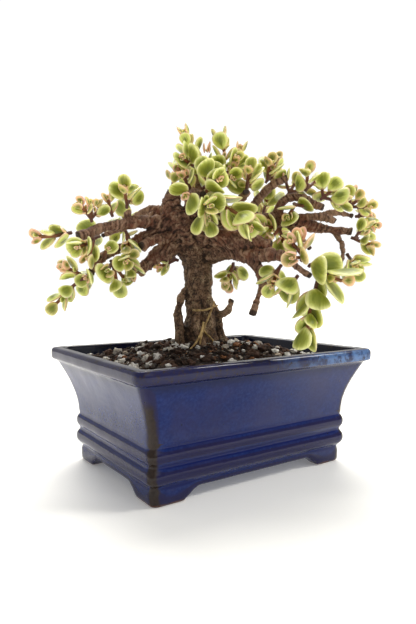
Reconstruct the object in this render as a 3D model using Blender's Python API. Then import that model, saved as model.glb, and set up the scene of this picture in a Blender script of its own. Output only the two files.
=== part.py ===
"""A variegated elephant-bush bonsai growing in a rectangular glazed pot on four bracket feet.

The pot is one cast piece, lofted as rounded rectangles and cut to leave its feet. The soil fills it
up to a low mound, over two squares of drain mesh. The wood is tubes that taper along hand-set
routes, and each leafy shoot is a square twig from which pairs of leaves are pulled, every pair
turned a quarter from the last. Lengths are in millimetres until solid_object() turns them into metres.
The routes and the pot are laid out round the pot's middle, +X along its long side. At the end all is
moved sideways, so that the origin is under the middle of the whole object, where it stands.
"""
import math
import random

import bmesh
import bpy
from mathutils import Matrix, Vector
from mathutils.bvhtree import BVHTree

MM = 0.001
GAP = 0.3  # between pieces that touch
CUT_PAST = 1.0  # how far a cutting shape reaches beyond what it cuts

# The pot, outside
POT_LENGTH = 155.4
POT_WIDTH = 120.6
POT_HEIGHT = 68.0
CORNER_RADIUS = 5.0
CORNER_STEPS = 4
CORNER_TIGHTENING = 0.12  # how much less round a corner is for each millimetre that it is drawn in
OUTSIDE_CORNER, INSIDE_CORNER = 1.5, 2.5  # the least radii
RIM_HEIGHT = 6.5  # the thick band round the mouth
RIM_WIDTH = 7.0  # across its flat top
RIM_EDGE = 1.2  # how far its edges are rounded off
RIM_SOFTENED = 0.35  # the middle of that rounding stands in this far
RIM_STEP = 2.6  # from the band's outside in to the top of the flared wall
WAIST_INSET = 12.6  # how far the wall has drawn in from the rim
WAIST_HEIGHT = 30.0
FLARE_RINGS = 8
RIB_INSET = 11.4  # the crowns of the two bands round the foot of the wall
RIB_GROOVE = 14.0
RIB_HEIGHTS = (24.6, 14.8)  # of their middles
RIB_HALF = 4.1
RIB_RINGS = 5
FOOT_INSET = 14.0
FOOT_CHAMFER = 1.2
FOOT_COLLAR = ((14.5, 9.4), (13.8, 7.0))  # inset and height: the wall turns into the feet there

# The pot, inside and underneath
WALL = 5.5
INSIDE_STEPS = 4  # from under the rim down to the waist
INSIDE_FILLET = 2.5  # where the wall meets the floor
FLOOR_THICKNESS = 5.0
FLOOR_UNDERSIDE = 6.2  # above the surface that the pot stands on; the arches are as high
FOOT_WALL = 7.0  # how thick the feet are
RECESS_DRAFT = 1.0  # the recess behind the feet narrows upward by this
FOOT_LENGTH = 15.0  # along each side, at the surface
ARCH_SHOULDER = 12.0  # over which an arch curves up from a foot
ARCH_STEPS = 6
DRAIN_RADIUS = 6.0
DRAIN_SPACING = 62.0
DRAIN_SIDES = 20

# What is in the pot
MESH_SIDE = 24.0
MESH_CELLS = 7  # every second cell, each way, is a hole
MESH_THICKNESS = 0.8
SOIL_EDGE_DROP = 8.5  # from the rim down to the soil along the walls
SOIL_MOUND_RISE = 4.0  # from the rim up to the soil at the trunk
SOIL_RINGS = 6
SOIL_LEAST_STEP = 1.0  # between its rings along the wall
SOIL_UNEVEN = 0.7
SOIL_RISE_POWER = 1.3  # how late the mound begins to rise

# The wood. Each point of a route is x, y, z and the radius there.
ROUTES_RIM = 68.0  # the height of the rim that all routes are drawn for; they rise and fall with the pot's
TRUNK_SIDES = 12
LIMB_SIDES = 8
SIDE_BRANCH_SIDES = 6
TRUNK_X, TRUNK_Y = -2.0, 10.0

# The leafy shoots
TWIG_HALF = 0.85  # half the side of the square twig
NODE_HALF = 0.85  # half the height of the block that bears a pair of leaves
NODE_SPACING = 5.4  # at least
NODE_PER_LEAF = 0.52  # spacing as a share of leaf length
FIRST_NODE = 2.6  # from where the twig leaves the wood
TWIG_TIP = 0.8  # past the last pair
TWIG_SPARE = 0.5  # more than the shortest twig needs
TWIG_NARROWED = 0.6  # its tip, as a share of its side
TWIG_TURN = 18.0  # degrees that a pair may be turned out of square, either way
SIDE_TWIG_FIRST = 2.8
SIDE_TWIG_SPACING = 4.6
SIDE_TWIG_LIFT = (32, 52)  # degrees from square to the main twig
SIDE_TWIG_FREE = 0.15  # share of it, next to the main twig, that needs no room
SIDE_TWIG_AHEAD = 0.05  # share of its length that must be free past its tip
LEAF_THICKNESS = 1.9
LEAF_TIP_RISE = 0.2
LEAF_BELLY = 0.7  # width of the underside where the leaf is widest, as a share
LEAF_WIDEST = 0.58  # along its length
LEAF_TIP_WIDTH = 0.52  # as a share of the widest
LEAF_NARROW, LEAF_ROUND = 0.66, 0.94  # width as a share of length, of the smallest leaves and of large ones
LEAF_LARGE = 14.0
LEAF_PAST_TWIG = 0.55  # how far the last leaves reach past their twig's end, as a share of their length
LEAF_LIFTS = (48, 34, 62, 20, 75, 6)  # degrees from square to the twig, in the order tried
LEAF_SCALES = (1.0, 0.85, 0.7, 0.55)  # in the order tried
LEAF_SPREAD = (0.98, 1.28)  # of their sizes
LEAF_ROOM = 0.3  # clear all round a leaf
LEAF_FREE = 0.12  # share of it, next to the twig, that needs no room
LEAF_SWAY = 8.0  # degrees that its lift may be out, either way
YOUNG_LEAF_SHRINK = 0.25  # of the last pair
TIP_LIFT = 18.0  # further, for the last pair
MOST_LIFT = 76.0
SPRAY_SEED = 11
BRANCHING_SHARE = 0.6  # side twigs leave only this much of a main twig
ROUTE_SLACK = 2.0  # a route that starts nearer the wood than this is simply moved onto it
ROUTE_CUT = 2.0  # how much shorter a twig is tried when its route is blocked
STRIDE = 0.25  # between the places that a twig's line is sampled at
MERGE = 0.0001
RAY_DIRECTION = (0.31, 0.17, 0.93)  # along no edge of anything
RAY_STEP = 0.001  # past one crossing, to look for the next
MOST_CROSSINGS = 50
ROUTE_STEPS = 24  # drawn between two points of a shoot's route
# The faces of a four-sided box with corners 0-3 at one end and 4-7 at the other, and of a leaf's shape,
# whose corners are 0-3 at its foot, 4-7 where it is widest and 8-11 at its tip.
SIDE_FACES = [(0, 1, 5, 4), (1, 2, 6, 5), (2, 3, 7, 6), (3, 0, 4, 7)]
BOX_FACES = SIDE_FACES + [(4, 5, 6, 7), (3, 2, 1, 0)]
LEAF_FACES = SIDE_FACES + [(4, 5, 9, 8), (5, 6, 10, 9), (6, 7, 11, 10), (7, 4, 8, 11), (8, 9, 10, 11)]
LEAF_FACES.append((3, 2, 1, 0))


def clear_scene():
    for item in list(bpy.data.objects):
        bpy.data.objects.remove(item, do_unlink=True)


def make_material(name, colour, roughness, metallic=0.0):
    material = bpy.data.materials.new(name)
    material.use_nodes = True
    shader = material.node_tree.nodes["Principled BSDF"]
    shader.inputs["Base Color"].default_value = (*colour, 1.0)
    shader.inputs["Roughness"].default_value = roughness
    shader.inputs["Metallic"].default_value = metallic
    material.diffuse_color = (*colour, 1.0)
    return material


def solid_object(name, bm, material, smooth_angle=None):
    """An object from a closed bmesh in millimetres, its faces turned outwards."""
    bmesh.ops.recalc_face_normals(bm, faces=bm.faces)
    bmesh.ops.scale(bm, vec=(MM, MM, MM), verts=bm.verts)
    mesh = bpy.data.meshes.new(name)
    bm.to_mesh(mesh)
    bm.free()
    mesh.materials.append(material)
    if smooth_angle:
        mesh.shade_smooth()
        mesh.set_sharp_from_angle(angle=math.radians(smooth_angle))
    made = bpy.data.objects.new(name, mesh)
    bpy.context.scene.collection.objects.link(made)
    return made


def helper(item):
    """Marks a cutter or a shape to be joined, which is no piece of the object."""
    item.hide_render = True
    item.display_type = "WIRE"
    return item


def boolean(target, other, operation):
    modifier = target.modifiers.new(f"{operation.lower()} {other.name}", "BOOLEAN")
    modifier.operation = operation
    modifier.object = other
    modifier.solver = "EXACT"
    return modifier


def bridge_rings(bm, rings, close_start=True, close_end=True):
    """Side faces between neighbouring rings of vertices, and end caps."""
    for lower, upper in zip(rings, rings[1:]):
        count = len(lower)
        for i in range(count):
            j = (i + 1) % count
            bm.faces.new((lower[i], lower[j], upper[j], upper[i]))
    if close_start:
        bm.faces.new(list(reversed(rings[0])))
    if close_end:
        bm.faces.new(rings[-1])


# ---------------------------------------------------------------- pot

def rounded_rectangle(half_x, half_y, radius, z):
    """Points round a rectangle with round corners, seen from above, anticlockwise."""
    points = []
    for corner, (sx, sy) in enumerate(((1, 1), (-1, 1), (-1, -1), (1, -1))):
        for step in range(CORNER_STEPS + 1):
            angle = math.radians(90 * (corner + step / CORNER_STEPS))
            x = sx * (half_x - radius) + radius * math.cos(angle)
            y = sy * (half_y - radius) + radius * math.sin(angle)
            points.append(Vector((x, y, z)))
    return points


def pot_ring(bm, inset, z, least_radius=OUTSIDE_CORNER):
    """One level of the pot, drawn in by inset from the rim's outside."""
    radius = max(least_radius, CORNER_RADIUS - inset * CORNER_TIGHTENING)
    outline = rounded_rectangle(POT_LENGTH / 2 - inset, POT_WIDTH / 2 - inset, radius, z)
    return [bm.verts.new(point) for point in outline]


def flare_inset(z):
    """How far the wall has drawn in at a height between the rim and the waist: a quarter of a sine."""
    top = POT_HEIGHT - RIM_HEIGHT
    share = (top - z) / (top - WAIST_HEIGHT)
    return RIM_STEP + (WAIST_INSET - RIM_STEP) * math.sin(math.pi / 2 * min(1.0, share))


def outside_profile():
    """(inset, height) down the outside, from the rim's edge to the feet."""
    under_rim = POT_HEIGHT - RIM_HEIGHT
    rounding = [(RIM_EDGE, 0.0), (RIM_SOFTENED, RIM_SOFTENED), (0.0, RIM_EDGE)]
    profile = [(inset, POT_HEIGHT - down) for inset, down in rounding]
    profile += [(inset, under_rim + up) for inset, up in reversed(rounding)]
    for step in range(FLARE_RINGS + 1):
        z = under_rim - (under_rim - WAIST_HEIGHT) * step / FLARE_RINGS
        profile.append((flare_inset(z), z))
    for middle in RIB_HEIGHTS:
        for step in range(RIB_RINGS):
            angle = math.pi * (step + 0.5) / RIB_RINGS
            swell = math.sin(angle)
            z = middle + RIB_HALF * math.cos(angle)
            profile.append((RIB_GROOVE - (RIB_GROOVE - RIB_INSET) * swell, z))
    profile += [*FOOT_COLLAR, (FOOT_INSET, FOOT_CHAMFER), (FOOT_INSET + FOOT_CHAMFER, 0.0)]
    return profile


def inside_inset(z):
    """How far the inner wall stands in from the rim's outside."""
    if z >= POT_HEIGHT - RIM_HEIGHT:
        return RIM_WIDTH
    share = (POT_HEIGHT - RIM_HEIGHT - z) / (POT_HEIGHT - RIM_HEIGHT - WAIST_HEIGHT)
    deep = WAIST_INSET + WALL
    return RIM_WIDTH + (deep - RIM_WIDTH) * math.sin(math.pi / 2 * min(1.0, share))


def inside_heights():
    under_rim, floor = POT_HEIGHT - RIM_HEIGHT, FLOOR_UNDERSIDE + FLOOR_THICKNESS
    drop = (under_rim - WAIST_HEIGHT) / INSIDE_STEPS
    flare = [under_rim - drop * step for step in range(INSIDE_STEPS + 1)]
    return [POT_HEIGHT, *flare, floor + INSIDE_FILLET, floor]


def build_pot(material):
    bm = bmesh.new()
    rings = [pot_ring(bm, inset, z) for inset, z in reversed(outside_profile())]
    for z in inside_heights():
        edge = RIM_EDGE if z == POT_HEIGHT else 0.0
        foot = INSIDE_FILLET if z == FLOOR_UNDERSIDE + FLOOR_THICKNESS else 0.0
        rings.append(pot_ring(bm, inside_inset(z) - edge + foot, z, INSIDE_CORNER))
    bridge_rings(bm, rings)
    pot = solid_object("pot", bm, material, smooth_angle=40)
    boolean(pot, underside_recess(material), "DIFFERENCE")
    for along_x in (True, False):
        boolean(pot, arch_cutter(along_x, material), "DIFFERENCE")
    for side in (-1, 1):
        boolean(pot, drain_cutter(side, material), "DIFFERENCE")
    return pot


def underside_recess(material):
    """Hollows the base behind the feet."""
    bm = bmesh.new()
    inset = FOOT_INSET + FOOT_WALL
    rings = [pot_ring(bm, inset, -CUT_PAST), pot_ring(bm, inset + RECESS_DRAFT, FLOOR_UNDERSIDE)]
    bridge_rings(bm, rings)
    return helper(solid_object("recess_cutter", bm, material))


def arch_outline(half_side):
    """Half-way up and over one arch: out from the foot, up an S-curved shoulder, level to the middle."""
    foot_end = half_side - FOOT_INSET - FOOT_LENGTH
    points = [(foot_end, -CUT_PAST)]
    for step in range(ARCH_STEPS + 1):
        share = step / ARCH_STEPS
        rise = FLOOR_UNDERSIDE * (1 - math.cos(math.pi * share)) / 2
        points.append((foot_end - ARCH_SHOULDER * share, rise))
    return points


def arch_cutter(along_x, material):
    """A bar with the arch's section, right through the pot from side to side."""
    half_side = (POT_LENGTH if along_x else POT_WIDTH) / 2
    reach = max(POT_LENGTH, POT_WIDTH) / 2 + CUT_PAST
    right = arch_outline(half_side)
    outline = right + [(-across, z) for across, z in reversed(right)]
    bm = bmesh.new()
    rings = []
    for end in (-reach, reach):
        if along_x:
            rings.append([bm.verts.new((across, end, z)) for across, z in outline])
        else:
            rings.append([bm.verts.new((end, across, z)) for across, z in outline])
    bridge_rings(bm, rings)
    name = "front_arch_cutter" if along_x else "side_arch_cutter"
    return helper(solid_object(name, bm, material))


def drain_cutter(side, material):
    bm = bmesh.new()
    depth = FLOOR_THICKNESS * 3
    where = Matrix.Translation((side * DRAIN_SPACING / 2, 0, FLOOR_UNDERSIDE + FLOOR_THICKNESS / 2))
    bmesh.ops.create_cone(
        bm, cap_ends=True, segments=DRAIN_SIDES, radius1=DRAIN_RADIUS, radius2=DRAIN_RADIUS,
        depth=depth, matrix=where,
    )
    return helper(solid_object(f"drain_cutter_{'left' if side < 0 else 'right'}", bm, material))


# ---------------------------------------------------------------- filling

def build_drain_mesh(name, side, material):
    """A square of plastic mesh lying over one drain hole."""
    bm = bmesh.new()
    half = MESH_SIDE / 2
    cell = MESH_SIDE / MESH_CELLS
    bottom = FLOOR_UNDERSIDE + FLOOR_THICKNESS + GAP
    corner = {}
    for i in range(MESH_CELLS + 1):
        for j in range(MESH_CELLS + 1):
            x = side * DRAIN_SPACING / 2 - half + i * cell
            corner[i, j] = bm.verts.new((x, -half + j * cell, bottom))
    for i in range(MESH_CELLS):
        for j in range(MESH_CELLS):
            if i % 2 == 0 or j % 2 == 0:
                bm.faces.new((corner[i, j], corner[i + 1, j], corner[i + 1, j + 1], corner[i, j + 1]))
    sheet = bmesh.ops.extrude_face_region(bm, geom=list(bm.faces), use_keep_orig=True)
    lifted = [item for item in sheet["geom"] if isinstance(item, bmesh.types.BMVert)]
    bmesh.ops.translate(bm, vec=(0, 0, MESH_THICKNESS), verts=lifted)
    return solid_object(name, bm, material)


def soil_height(share, x, y):
    """The soil's surface: share is 0 along the wall and 1 at the trunk."""
    low = POT_HEIGHT - SOIL_EDGE_DROP
    high = POT_HEIGHT + SOIL_MOUND_RISE
    rise = math.sin(math.pi / 2 * share) ** SOIL_RISE_POWER
    uneven = SOIL_UNEVEN * math.sin(x * 0.19 + 1.0) * math.cos(y * 0.23)
    return low + (high - low) * rise + uneven * math.sin(math.pi * share)


def soil_wall_ring(bm, z):
    return pot_ring(bm, inside_inset(z) + GAP, z, INSIDE_CORNER)


def build_soil(material):
    """Fills the pot from just over the drain mesh to the mound, a little clear of the walls."""
    bm = bmesh.new()
    bottom = FLOOR_UNDERSIDE + FLOOR_THICKNESS + MESH_THICKNESS + 2 * GAP
    edge = POT_HEIGHT - SOIL_EDGE_DROP
    rings = [pot_ring(bm, inside_inset(bottom) + INSIDE_FILLET + GAP, bottom, INSIDE_CORNER)]
    walls = [z for z in reversed(inside_heights()) if bottom + SOIL_LEAST_STEP < z < edge - SOIL_LEAST_STEP]
    rings += [soil_wall_ring(bm, z) for z in walls]
    rings.append(soil_wall_ring(bm, edge))
    outline = [vert.co.copy() for vert in rings[-1]]
    middle = Vector((TRUNK_X, TRUNK_Y, edge))
    for step in range(1, SOIL_RINGS + 1):
        share = step / (SOIL_RINGS + 1)
        ring = []
        for point in outline:
            inward = point.lerp(middle, share)
            inward.z = soil_height(share, inward.x, inward.y)
            ring.append(bm.verts.new(inward))
        rings.append(ring)
    bridge_rings(bm, rings, close_end=False)
    top = bm.verts.new((TRUNK_X, TRUNK_Y, soil_height(1.0, TRUNK_X, TRUNK_Y)))
    last = rings[-1]
    for i, vert in enumerate(last):
        bm.faces.new((vert, last[(i + 1) % len(last)], top))
    return solid_object("soil", bm, material)


# ---------------------------------------------------------------- wood

# The trunk, with the roots that leave it above the soil and the stumps of limbs sawn off long ago.
TRUNK = {
    "main": [(-1, 10, 58, 12.8), (-1, 10, 68, 12.2), (0, 10, 77, 10.8), (1, 10, 90, 9.1),
             (-1, 11, 104, 8.7), (0, 11, 117, 8.7), (-3, 13, 128, 9.6), (-8, 15, 137, 10.0),
             (-13, 16, 146, 8.4), (-16, 17, 154, 6.0), (-15, 16, 163, 3.4)],
    "root_left": [(-4, 13, 106, 2.6), (-9, 13, 102, 2.8), (-14, 12, 93, 2.7), (-14, 11, 84, 3.5),
                  (-13, 10, 72, 4.0), (-12, 9, 60, 4.0)],
    "root_front": [(-3, 6, 97, 2.2), (-8, 1, 90, 2.4), (-10, -2, 81, 2.5), (-8, -4, 72, 2.8),
                   (-6, -4, 60, 3.0)],
    "root_right": [(5, 8, 98, 2.6), (10, 6, 88, 2.8), (12, 5, 76, 3.4), (15, 4, 66, 3.8),
                   (17, 3, 59, 3.6)],
    "old_stump": [(6, 8, 87, 2.8), (12, 5, 88, 2.5), (16, 3, 90, 2.6), (17, 2, 94, 2.0),
                  (19, 2, 97, 2.4)],
    "knob": [(-8, 12, 131, 5.0), (-11, 7, 133, 4.6), (-13, 5, 134, 3.4)],
    "upper_knob": [(-12, 14, 144, 5.0), (-17, 10, 147, 4.2), (-19, 8, 148, 3.0)],
    "stump_left": [(-10, 15, 137, 4.0), (-26, 12, 134, 3.2), (-34, 10, 131, 2.8), (-42, 8, 128, 2.2)],
    "stump_low": [(-6, 14, 133, 5.6), (-20, 15, 127, 4.8), (-30, 16, 121, 3.9), (-39, 16, 114, 3.8)],
    "spur": [(-17, 15, 129, 3.0), (-23, 14, 121, 3.0)],
}
# A limb's name, and the routes that join in it. The first starts inside the trunk or an earlier limb.
LIMBS = {
    "branch_left": {
        "main": [(-13, 17, 143, 4.4), (-22, 17, 143, 4.1), (-33, 17, 143, 3.7), (-45, 16, 142, 3.3),
                 (-57, 15, 139, 3.0), (-67, 14, 136, 3.0), (-76, 14, 132, 3.3)],
        "fork": [(-15, 17, 140, 4.0), (-22, 17, 139, 3.8), (-31, 18, 136, 3.5), (-44, 18, 129, 3.1),
                 (-55, 18, 125, 2.8), (-62, 17, 120, 2.5), (-69, 15, 112, 2.3)],
        "rosette_stem": [(-45, 16, 142, 2.4), (-46, 16, 148, 2.0)],
    },
    "branch_back_left": {
        "main": [(-13, 19, 148, 3.0), (-18, 28, 153, 2.6), (-22, 38, 153, 2.2), (-26, 50, 149, 1.8)],
        "low": [(-17, 27, 152, 2.4), (-27, 34, 146, 2.2), (-37, 45, 141, 2.0), (-44, 56, 138, 1.8)],
    },
    "branch_top": {
        "main": [(-12, 14, 145, 5.0), (-5, 12, 152, 4.6), (2, 8, 159, 3.8), (8, 4, 165, 3.0),
                 (11, 0, 171, 2.2)],
        "left": [(1, 9, 158, 2.8), (-2, 8, 166, 2.2), (-5, 7, 174, 1.8)],
        "front": [(-7, 12, 152, 3.0), (-12, 2, 157, 2.6), (-15, -8, 159, 2.2), (-14, -16, 156, 1.9)],
        "back": [(2, 9, 158, 2.6), (4, 18, 164, 2.2), (5, 28, 168, 1.8)],
    },
    "branch_right_front": {
        "main": [(-4, 11, 136, 6.4), (3, -2, 135, 6.6), (6, -16, 132, 6.6), (10, -28, 130, 5.6),
                 (14, -39, 127, 3.8)],
        "lower": [(1, 10, 125, 6.2), (5, 0, 126, 6.2), (8, -12, 126, 5.6), (9, -24, 124, 5.2),
                  (9, -33, 121, 4.4)],
        "reach": [(9, -26, 124, 4.6), (8, -40, 122, 3.9), (8, -50, 122, 3.5), (8, -60, 120, 3.2)],
        "hanging": [(9, -30, 121, 3.6), (8, -38, 113, 3.1), (8, -41, 107, 2.4), (5, -41, 101, 2.0),
                    (0, -41, 90, 1.9)],
        "low_reach": [(8, -56, 121, 2.4), (13, -62, 115, 1.9), (17, -68, 110, 1.7)],
    },
    "branch_right": {
        "main": [(-5, 15, 141, 5.0), (10, 8, 147, 5.2), (22, -2, 148, 5.2), (31, -13, 145, 5.0),
                 (39, -24, 145, 4.6),
                 (47, -35, 141, 3.8), (58, -47, 138, 2.4), (64, -54, 137, 2.0)],
        "arch": [(36, -20, 147, 3.2), (38, -21, 154, 3.0), (41, -24, 158, 2.8), (46, -32, 158, 2.6),
                 (48, -38, 154, 2.4), (51, -44, 151, 2.3)],
        "level": [(41, -26, 146, 2.8), (45, -39, 146, 2.4), (48, -47, 145, 2.2), (50, -54, 142, 2.0)],
        "down": [(40, -26, 144, 2.8), (35, -37, 137, 2.2), (32, -45, 131, 1.9), (31, -53, 126, 1.7)],
        "up": [(26, -7, 147, 3.4), (28, -9, 155, 3.0), (32, -12, 162, 2.7), (38, -17, 168, 2.5),
               (43, -22, 171, 2.4)],
        "toward_front": [(18, 1, 148, 3.0), (13, -12, 154, 2.5), (10, -24, 159, 2.3)],
        "drop": [(57, -46, 138, 2.0), (58, -52, 130, 1.6), (53, -57, 121, 1.5), (47, -59, 113, 1.4)],
        "far": [(44, -29, 144, 2.9), (62, -32, 149, 2.3), (73, -36, 151, 1.9), (81, -40, 149, 1.7)],
        "back": [(26, -6, 147, 3.4), (40, 4, 149, 2.7), (54, 14, 149, 2.2), (66, 22, 146, 1.8)],
    },
    "branch_back": {
        "main": [(4, 11, 146, 3.4), (13, 24, 151, 2.8), (19, 42, 151, 2.3), (23, 56, 147, 1.8)],
        "side": [(14, 26, 150, 2.4), (27, 34, 146, 2.0), (38, 44, 142, 1.8)],
    },
}
# A shoot's name: its route from the wood to the tips of its last leaves, the length of its leaves, and
# whether side twigs grow from it.
SHOOTS = {
    "shoot_left_tip": ([(-78, 15, 135), (-88, 16, 132), (-100, 20, 131)], 8.5, False),
    "shoot_left_small": ([(-68, 15, 142), (-68, 15, 147), (-67, 15, 154)], 7.0, True),
    "shoot_left_middle": ([(-55, 16, 145), (-56, 18, 151), (-56, 19, 159)], 8.5, False),
    "shoot_left_rosette": ([(-46, 16, 148), (-46, 16, 151), (-45, 16, 160)], 10.0, True),
    "shoot_left_under": ([(-67, 13, 135), (-69, 11, 128), (-73, 11, 117)], 9.5, True),
    "shoot_left_between": ([(-61, 16, 118), (-62, 12, 122), (-61, 7, 128)], 8.5, False),
    "shoot_left_below": ([(-49, 14, 139), (-46, 14, 133), (-42, 14, 124)], 9.0, True),
    "shoot_low_left_inner": ([(-49, 16, 127), (-47, 11, 119), (-47, 6, 108)], 9.5, True),
    "shoot_low_left_front": ([(-56, 18, 122), (-56, 11, 113), (-57, 5, 102)], 10.5, True),
    "shoot_low_left_side": ([(-72, 14, 111), (-76, 20, 112), (-81, 28, 118)], 8.5, True),
    "shoot_low_left_tip": ([(-72, 9, 111), (-78, 12, 107), (-84, 15, 100), (-91, 19, 92)], 9.0, False),
    "shoot_trunk_top": ([(-17, 14, 160), (-18, 13, 163), (-17, 12, 169)], 6.0, True),
    "shoot_top_left": ([(-4, 7, 178), (-6, 10, 187), (-10, 13, 202)], 9.5, False),
    "shoot_top_outer": ([(-4, 6, 174), (-9, 6, 179), (-16, 8, 186)], 11.0, True),
    "shoot_top_main": ([(11, 1, 179), (12, 1, 188), (9, 3, 200)], 9.5, False),
    "shoot_top_right": ([(10, 2, 166), (17, -2, 177), (24, -2, 194)], 9.5, True),
    "shoot_top_middle": ([(4, 6, 173), (2, 5, 182), (2, 4, 193)], 10.5, True),
    "shoot_top_front": ([(-4, -3, 158), (-8, -9, 165), (-14, -15, 175)], 14.0, False),
    "shoot_top_pink": ([(-11, 4, 165), (-16, 3, 169), (-22, 3, 176)], 8.5, True),
    "shoot_front_big": ([(-14, -8, 160), (-18, -10, 159), (-25, -13, 155)], 11.5, False),
    "shoot_front_under": ([(-14, -12, 155), (-14, -18, 149), (-15, -23, 140)], 11.0, True),
    "shoot_front_drape": ([(-11, -14, 155), (-8, -25, 149), (-6, -36, 144), (-3, -48, 132)], 13.5, False),
    "shoot_top_inner": ([(4, 6, 161), (8, -3, 169), (13, -6, 180)], 11.5, True),
    "shoot_front_pale": ([(-14, -9, 160), (-11, -20, 162), (-12, -32, 164)], 12.5, False),
    "shoot_right_inner": ([(12, -19, 158), (15, -19, 166), (19, -19, 178)], 9.5, True),
    "shoot_right_crest": ([(31, -12, 164), (36, -14, 174), (40, -17, 187)], 9.5, True),
    "shoot_right_arch_back": ([(40, -22, 158), (46, -22, 164), (52, -22, 173)], 9.5, True),
    "shoot_right_arch_up": ([(44, -31, 158), (48, -33, 163), (51, -35, 172)], 11.0, True),
    "shoot_right_arch_end": ([(49, -40, 154), (56, -43, 160), (64, -46, 168)], 10.0, True),
    "shoot_right_arch_front": ([(43, -24, 157), (41, -33, 153), (42, -44, 151)], 11.0, True),
    "shoot_right_far_up": ([(73, -36, 151), (79, -40, 155), (86, -44, 162)], 8.5, True),
    "shoot_right_far_tip": ([(79, -38, 148), (86, -43, 149), (93, -48, 151)], 8.5, True),
    "shoot_right_tip": ([(61, -51, 136), (65, -56, 133), (71, -63, 137)], 8.5, True),
    "shoot_right_drop": ([(57, -50, 130), (58, -54, 126), (60, -58, 119)], 9.5, True),
    "shoot_middle": ([(38, -24, 142), (29, -27, 136), (19, -29, 131)], 11.5, True),
    "shoot_middle_pink": ([(15, -64, 120), (10, -64, 125), (4, -63, 130)], 9.0, True),
    "shoot_low_front": ([(18, -68, 117), (20, -74, 112), (24, -81, 108), (31, -89, 110)], 15.0, False),
    "shoot_low_tassel": ([(20, -70, 110), (16, -71, 101), (12, -72, 92), (8, -74, 76)], 13.5, False),
    "shoot_low_left_of_tassel": ([(15, -65, 115), (10, -63, 108), (3, -60, 99)], 12.5, False),
    "shoot_low_inner": ([(8, -57, 117), (8, -53, 114), (6, -49, 106)], 9.5, True),
    "shoot_hanging": ([(6, -17, 123), (8, -13, 115), (8, -9, 102)], 8.0, True),
    "shoot_trunk_left": ([(-9, 17, 120), (-13, 22, 122), (-18, 28, 119)], 7.5, True),
    "shoot_back_left_tip": ([(-26, 49, 149), (-28, 58, 148), (-30, 72, 144)], 11.0, True),
    "shoot_back_left_low": ([(-43, 55, 138), (-49, 63, 136), (-56, 73, 132)], 11.0, True),
    "shoot_top_back": ([(5, 27, 168), (7, 34, 177), (9, 42, 190)], 11.5, True),
    "shoot_back_tip": ([(22, 55, 147), (25, 65, 146), (28, 78, 142)], 11.5, True),
    "shoot_back_up": ([(16, 34, 151), (18, 38, 161), (22, 42, 174)], 11.5, True),
    "shoot_back_right_tip": ([(65, 21, 146), (74, 26, 147), (86, 33, 146)], 11.0, True),
    "shoot_back_right_up": ([(50, 11, 149), (54, 12, 159), (58, 15, 172)], 11.5, True),
}


def smooth_route(points, steps):
    """A Catmull-Rom curve through 4-number points, with so many steps between neighbours."""
    line = []
    for i in range(len(points) - 1):
        a = Vector(points[max(i - 1, 0)])
        b, c = Vector(points[i]), Vector(points[i + 1])
        d = Vector(points[min(i + 2, len(points) - 1)])
        for step in range(steps):
            t = step / steps
            line.append(0.5 * ((2 * b) + (c - a) * t + (2 * a - 5 * b + 4 * c - d) * t**2
                               + (3 * b - a - 3 * c + d) * t**3))
    line.append(Vector(points[-1]))
    return line


def along_frames(places):
    """A tangent and two square directions at each place, turning as little as possible."""
    frames = []
    side = None
    for i, place in enumerate(places):
        before, after = places[max(i - 1, 0)], places[min(i + 1, len(places) - 1)]
        tangent = (after - before).normalized()
        if side is None:
            side = tangent.orthogonal().normalized()
        side = (side - tangent * side.dot(tangent)).normalized()
        frames.append((tangent, side, tangent.cross(side)))
    return frames


def with_the_pot(points):
    """A route's points, raised by as much as the pot is taller than the routes were drawn for."""
    rise = POT_HEIGHT - ROUTES_RIM
    return [(x, y, z + rise, *radius) for x, y, z, *radius in points]


def tube(name, points, sides, material, swell=0.0, steps=2):
    """A closed tube along a route of (x, y, z, radius) points, larger by swell all round and at its ends."""
    line = smooth_route(with_the_pot(points), steps)
    places = [point.xyz for point in line]
    if swell:
        places[0] += (places[0] - places[1]).normalized() * swell
        places[-1] += (places[-1] - places[-2]).normalized() * swell
    bm = bmesh.new()
    rings = []
    for point, place, (_, side, up) in zip(line, places, along_frames(places)):
        radius = point.w + swell
        turns = [2 * math.pi * i / sides for i in range(sides)]
        rings.append([bm.verts.new(place + radius * (side * math.cos(a) + up * math.sin(a))) for a in turns])
    bridge_rings(bm, rings)
    return solid_object(name, bm, material, smooth_angle=50)


def joined_tubes(name, routes, sides, material, swell=0.0):
    """One piece of wood: the first route's tube with the others joined to it."""
    first, *others = routes.items()
    wood = tube(name, first[1], sides, material, swell)
    for label, points in others:
        shape = helper(tube(f"{name}_{label}_shape", points, SIDE_BRANCH_SIDES, material, swell))
        boolean(wood, shape, "UNION")
    return wood


def build_wood(material):
    """The trunk and the limbs. A limb is cut back from every earlier piece of wood that it runs into."""
    routes = {"trunk": TRUNK, **LIMBS}
    wood, bodies, cutters = [], [], {}
    for name, parts in routes.items():
        sides = TRUNK_SIDES if name == "trunk" else LIMB_SIDES
        piece = joined_tubes(name, parts, sides, material)
        whole = evaluated_body(piece)
        for body in bodies:
            if meets(whole, body):
                earlier = body["name"]
                if earlier not in cutters:
                    sides = TRUNK_SIDES if earlier == "trunk" else LIMB_SIDES
                    swollen = joined_tubes(f"{earlier}_cutter", routes[earlier], sides, material, GAP)
                    cutters[earlier] = helper(swollen)
                boolean(piece, cutters[earlier], "DIFFERENCE")
        wood.append(piece)
        bodies.append(evaluated_body(piece))
    return wood, bodies, cutters["trunk"]


# ---------------------------------------------------------------- room

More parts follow.
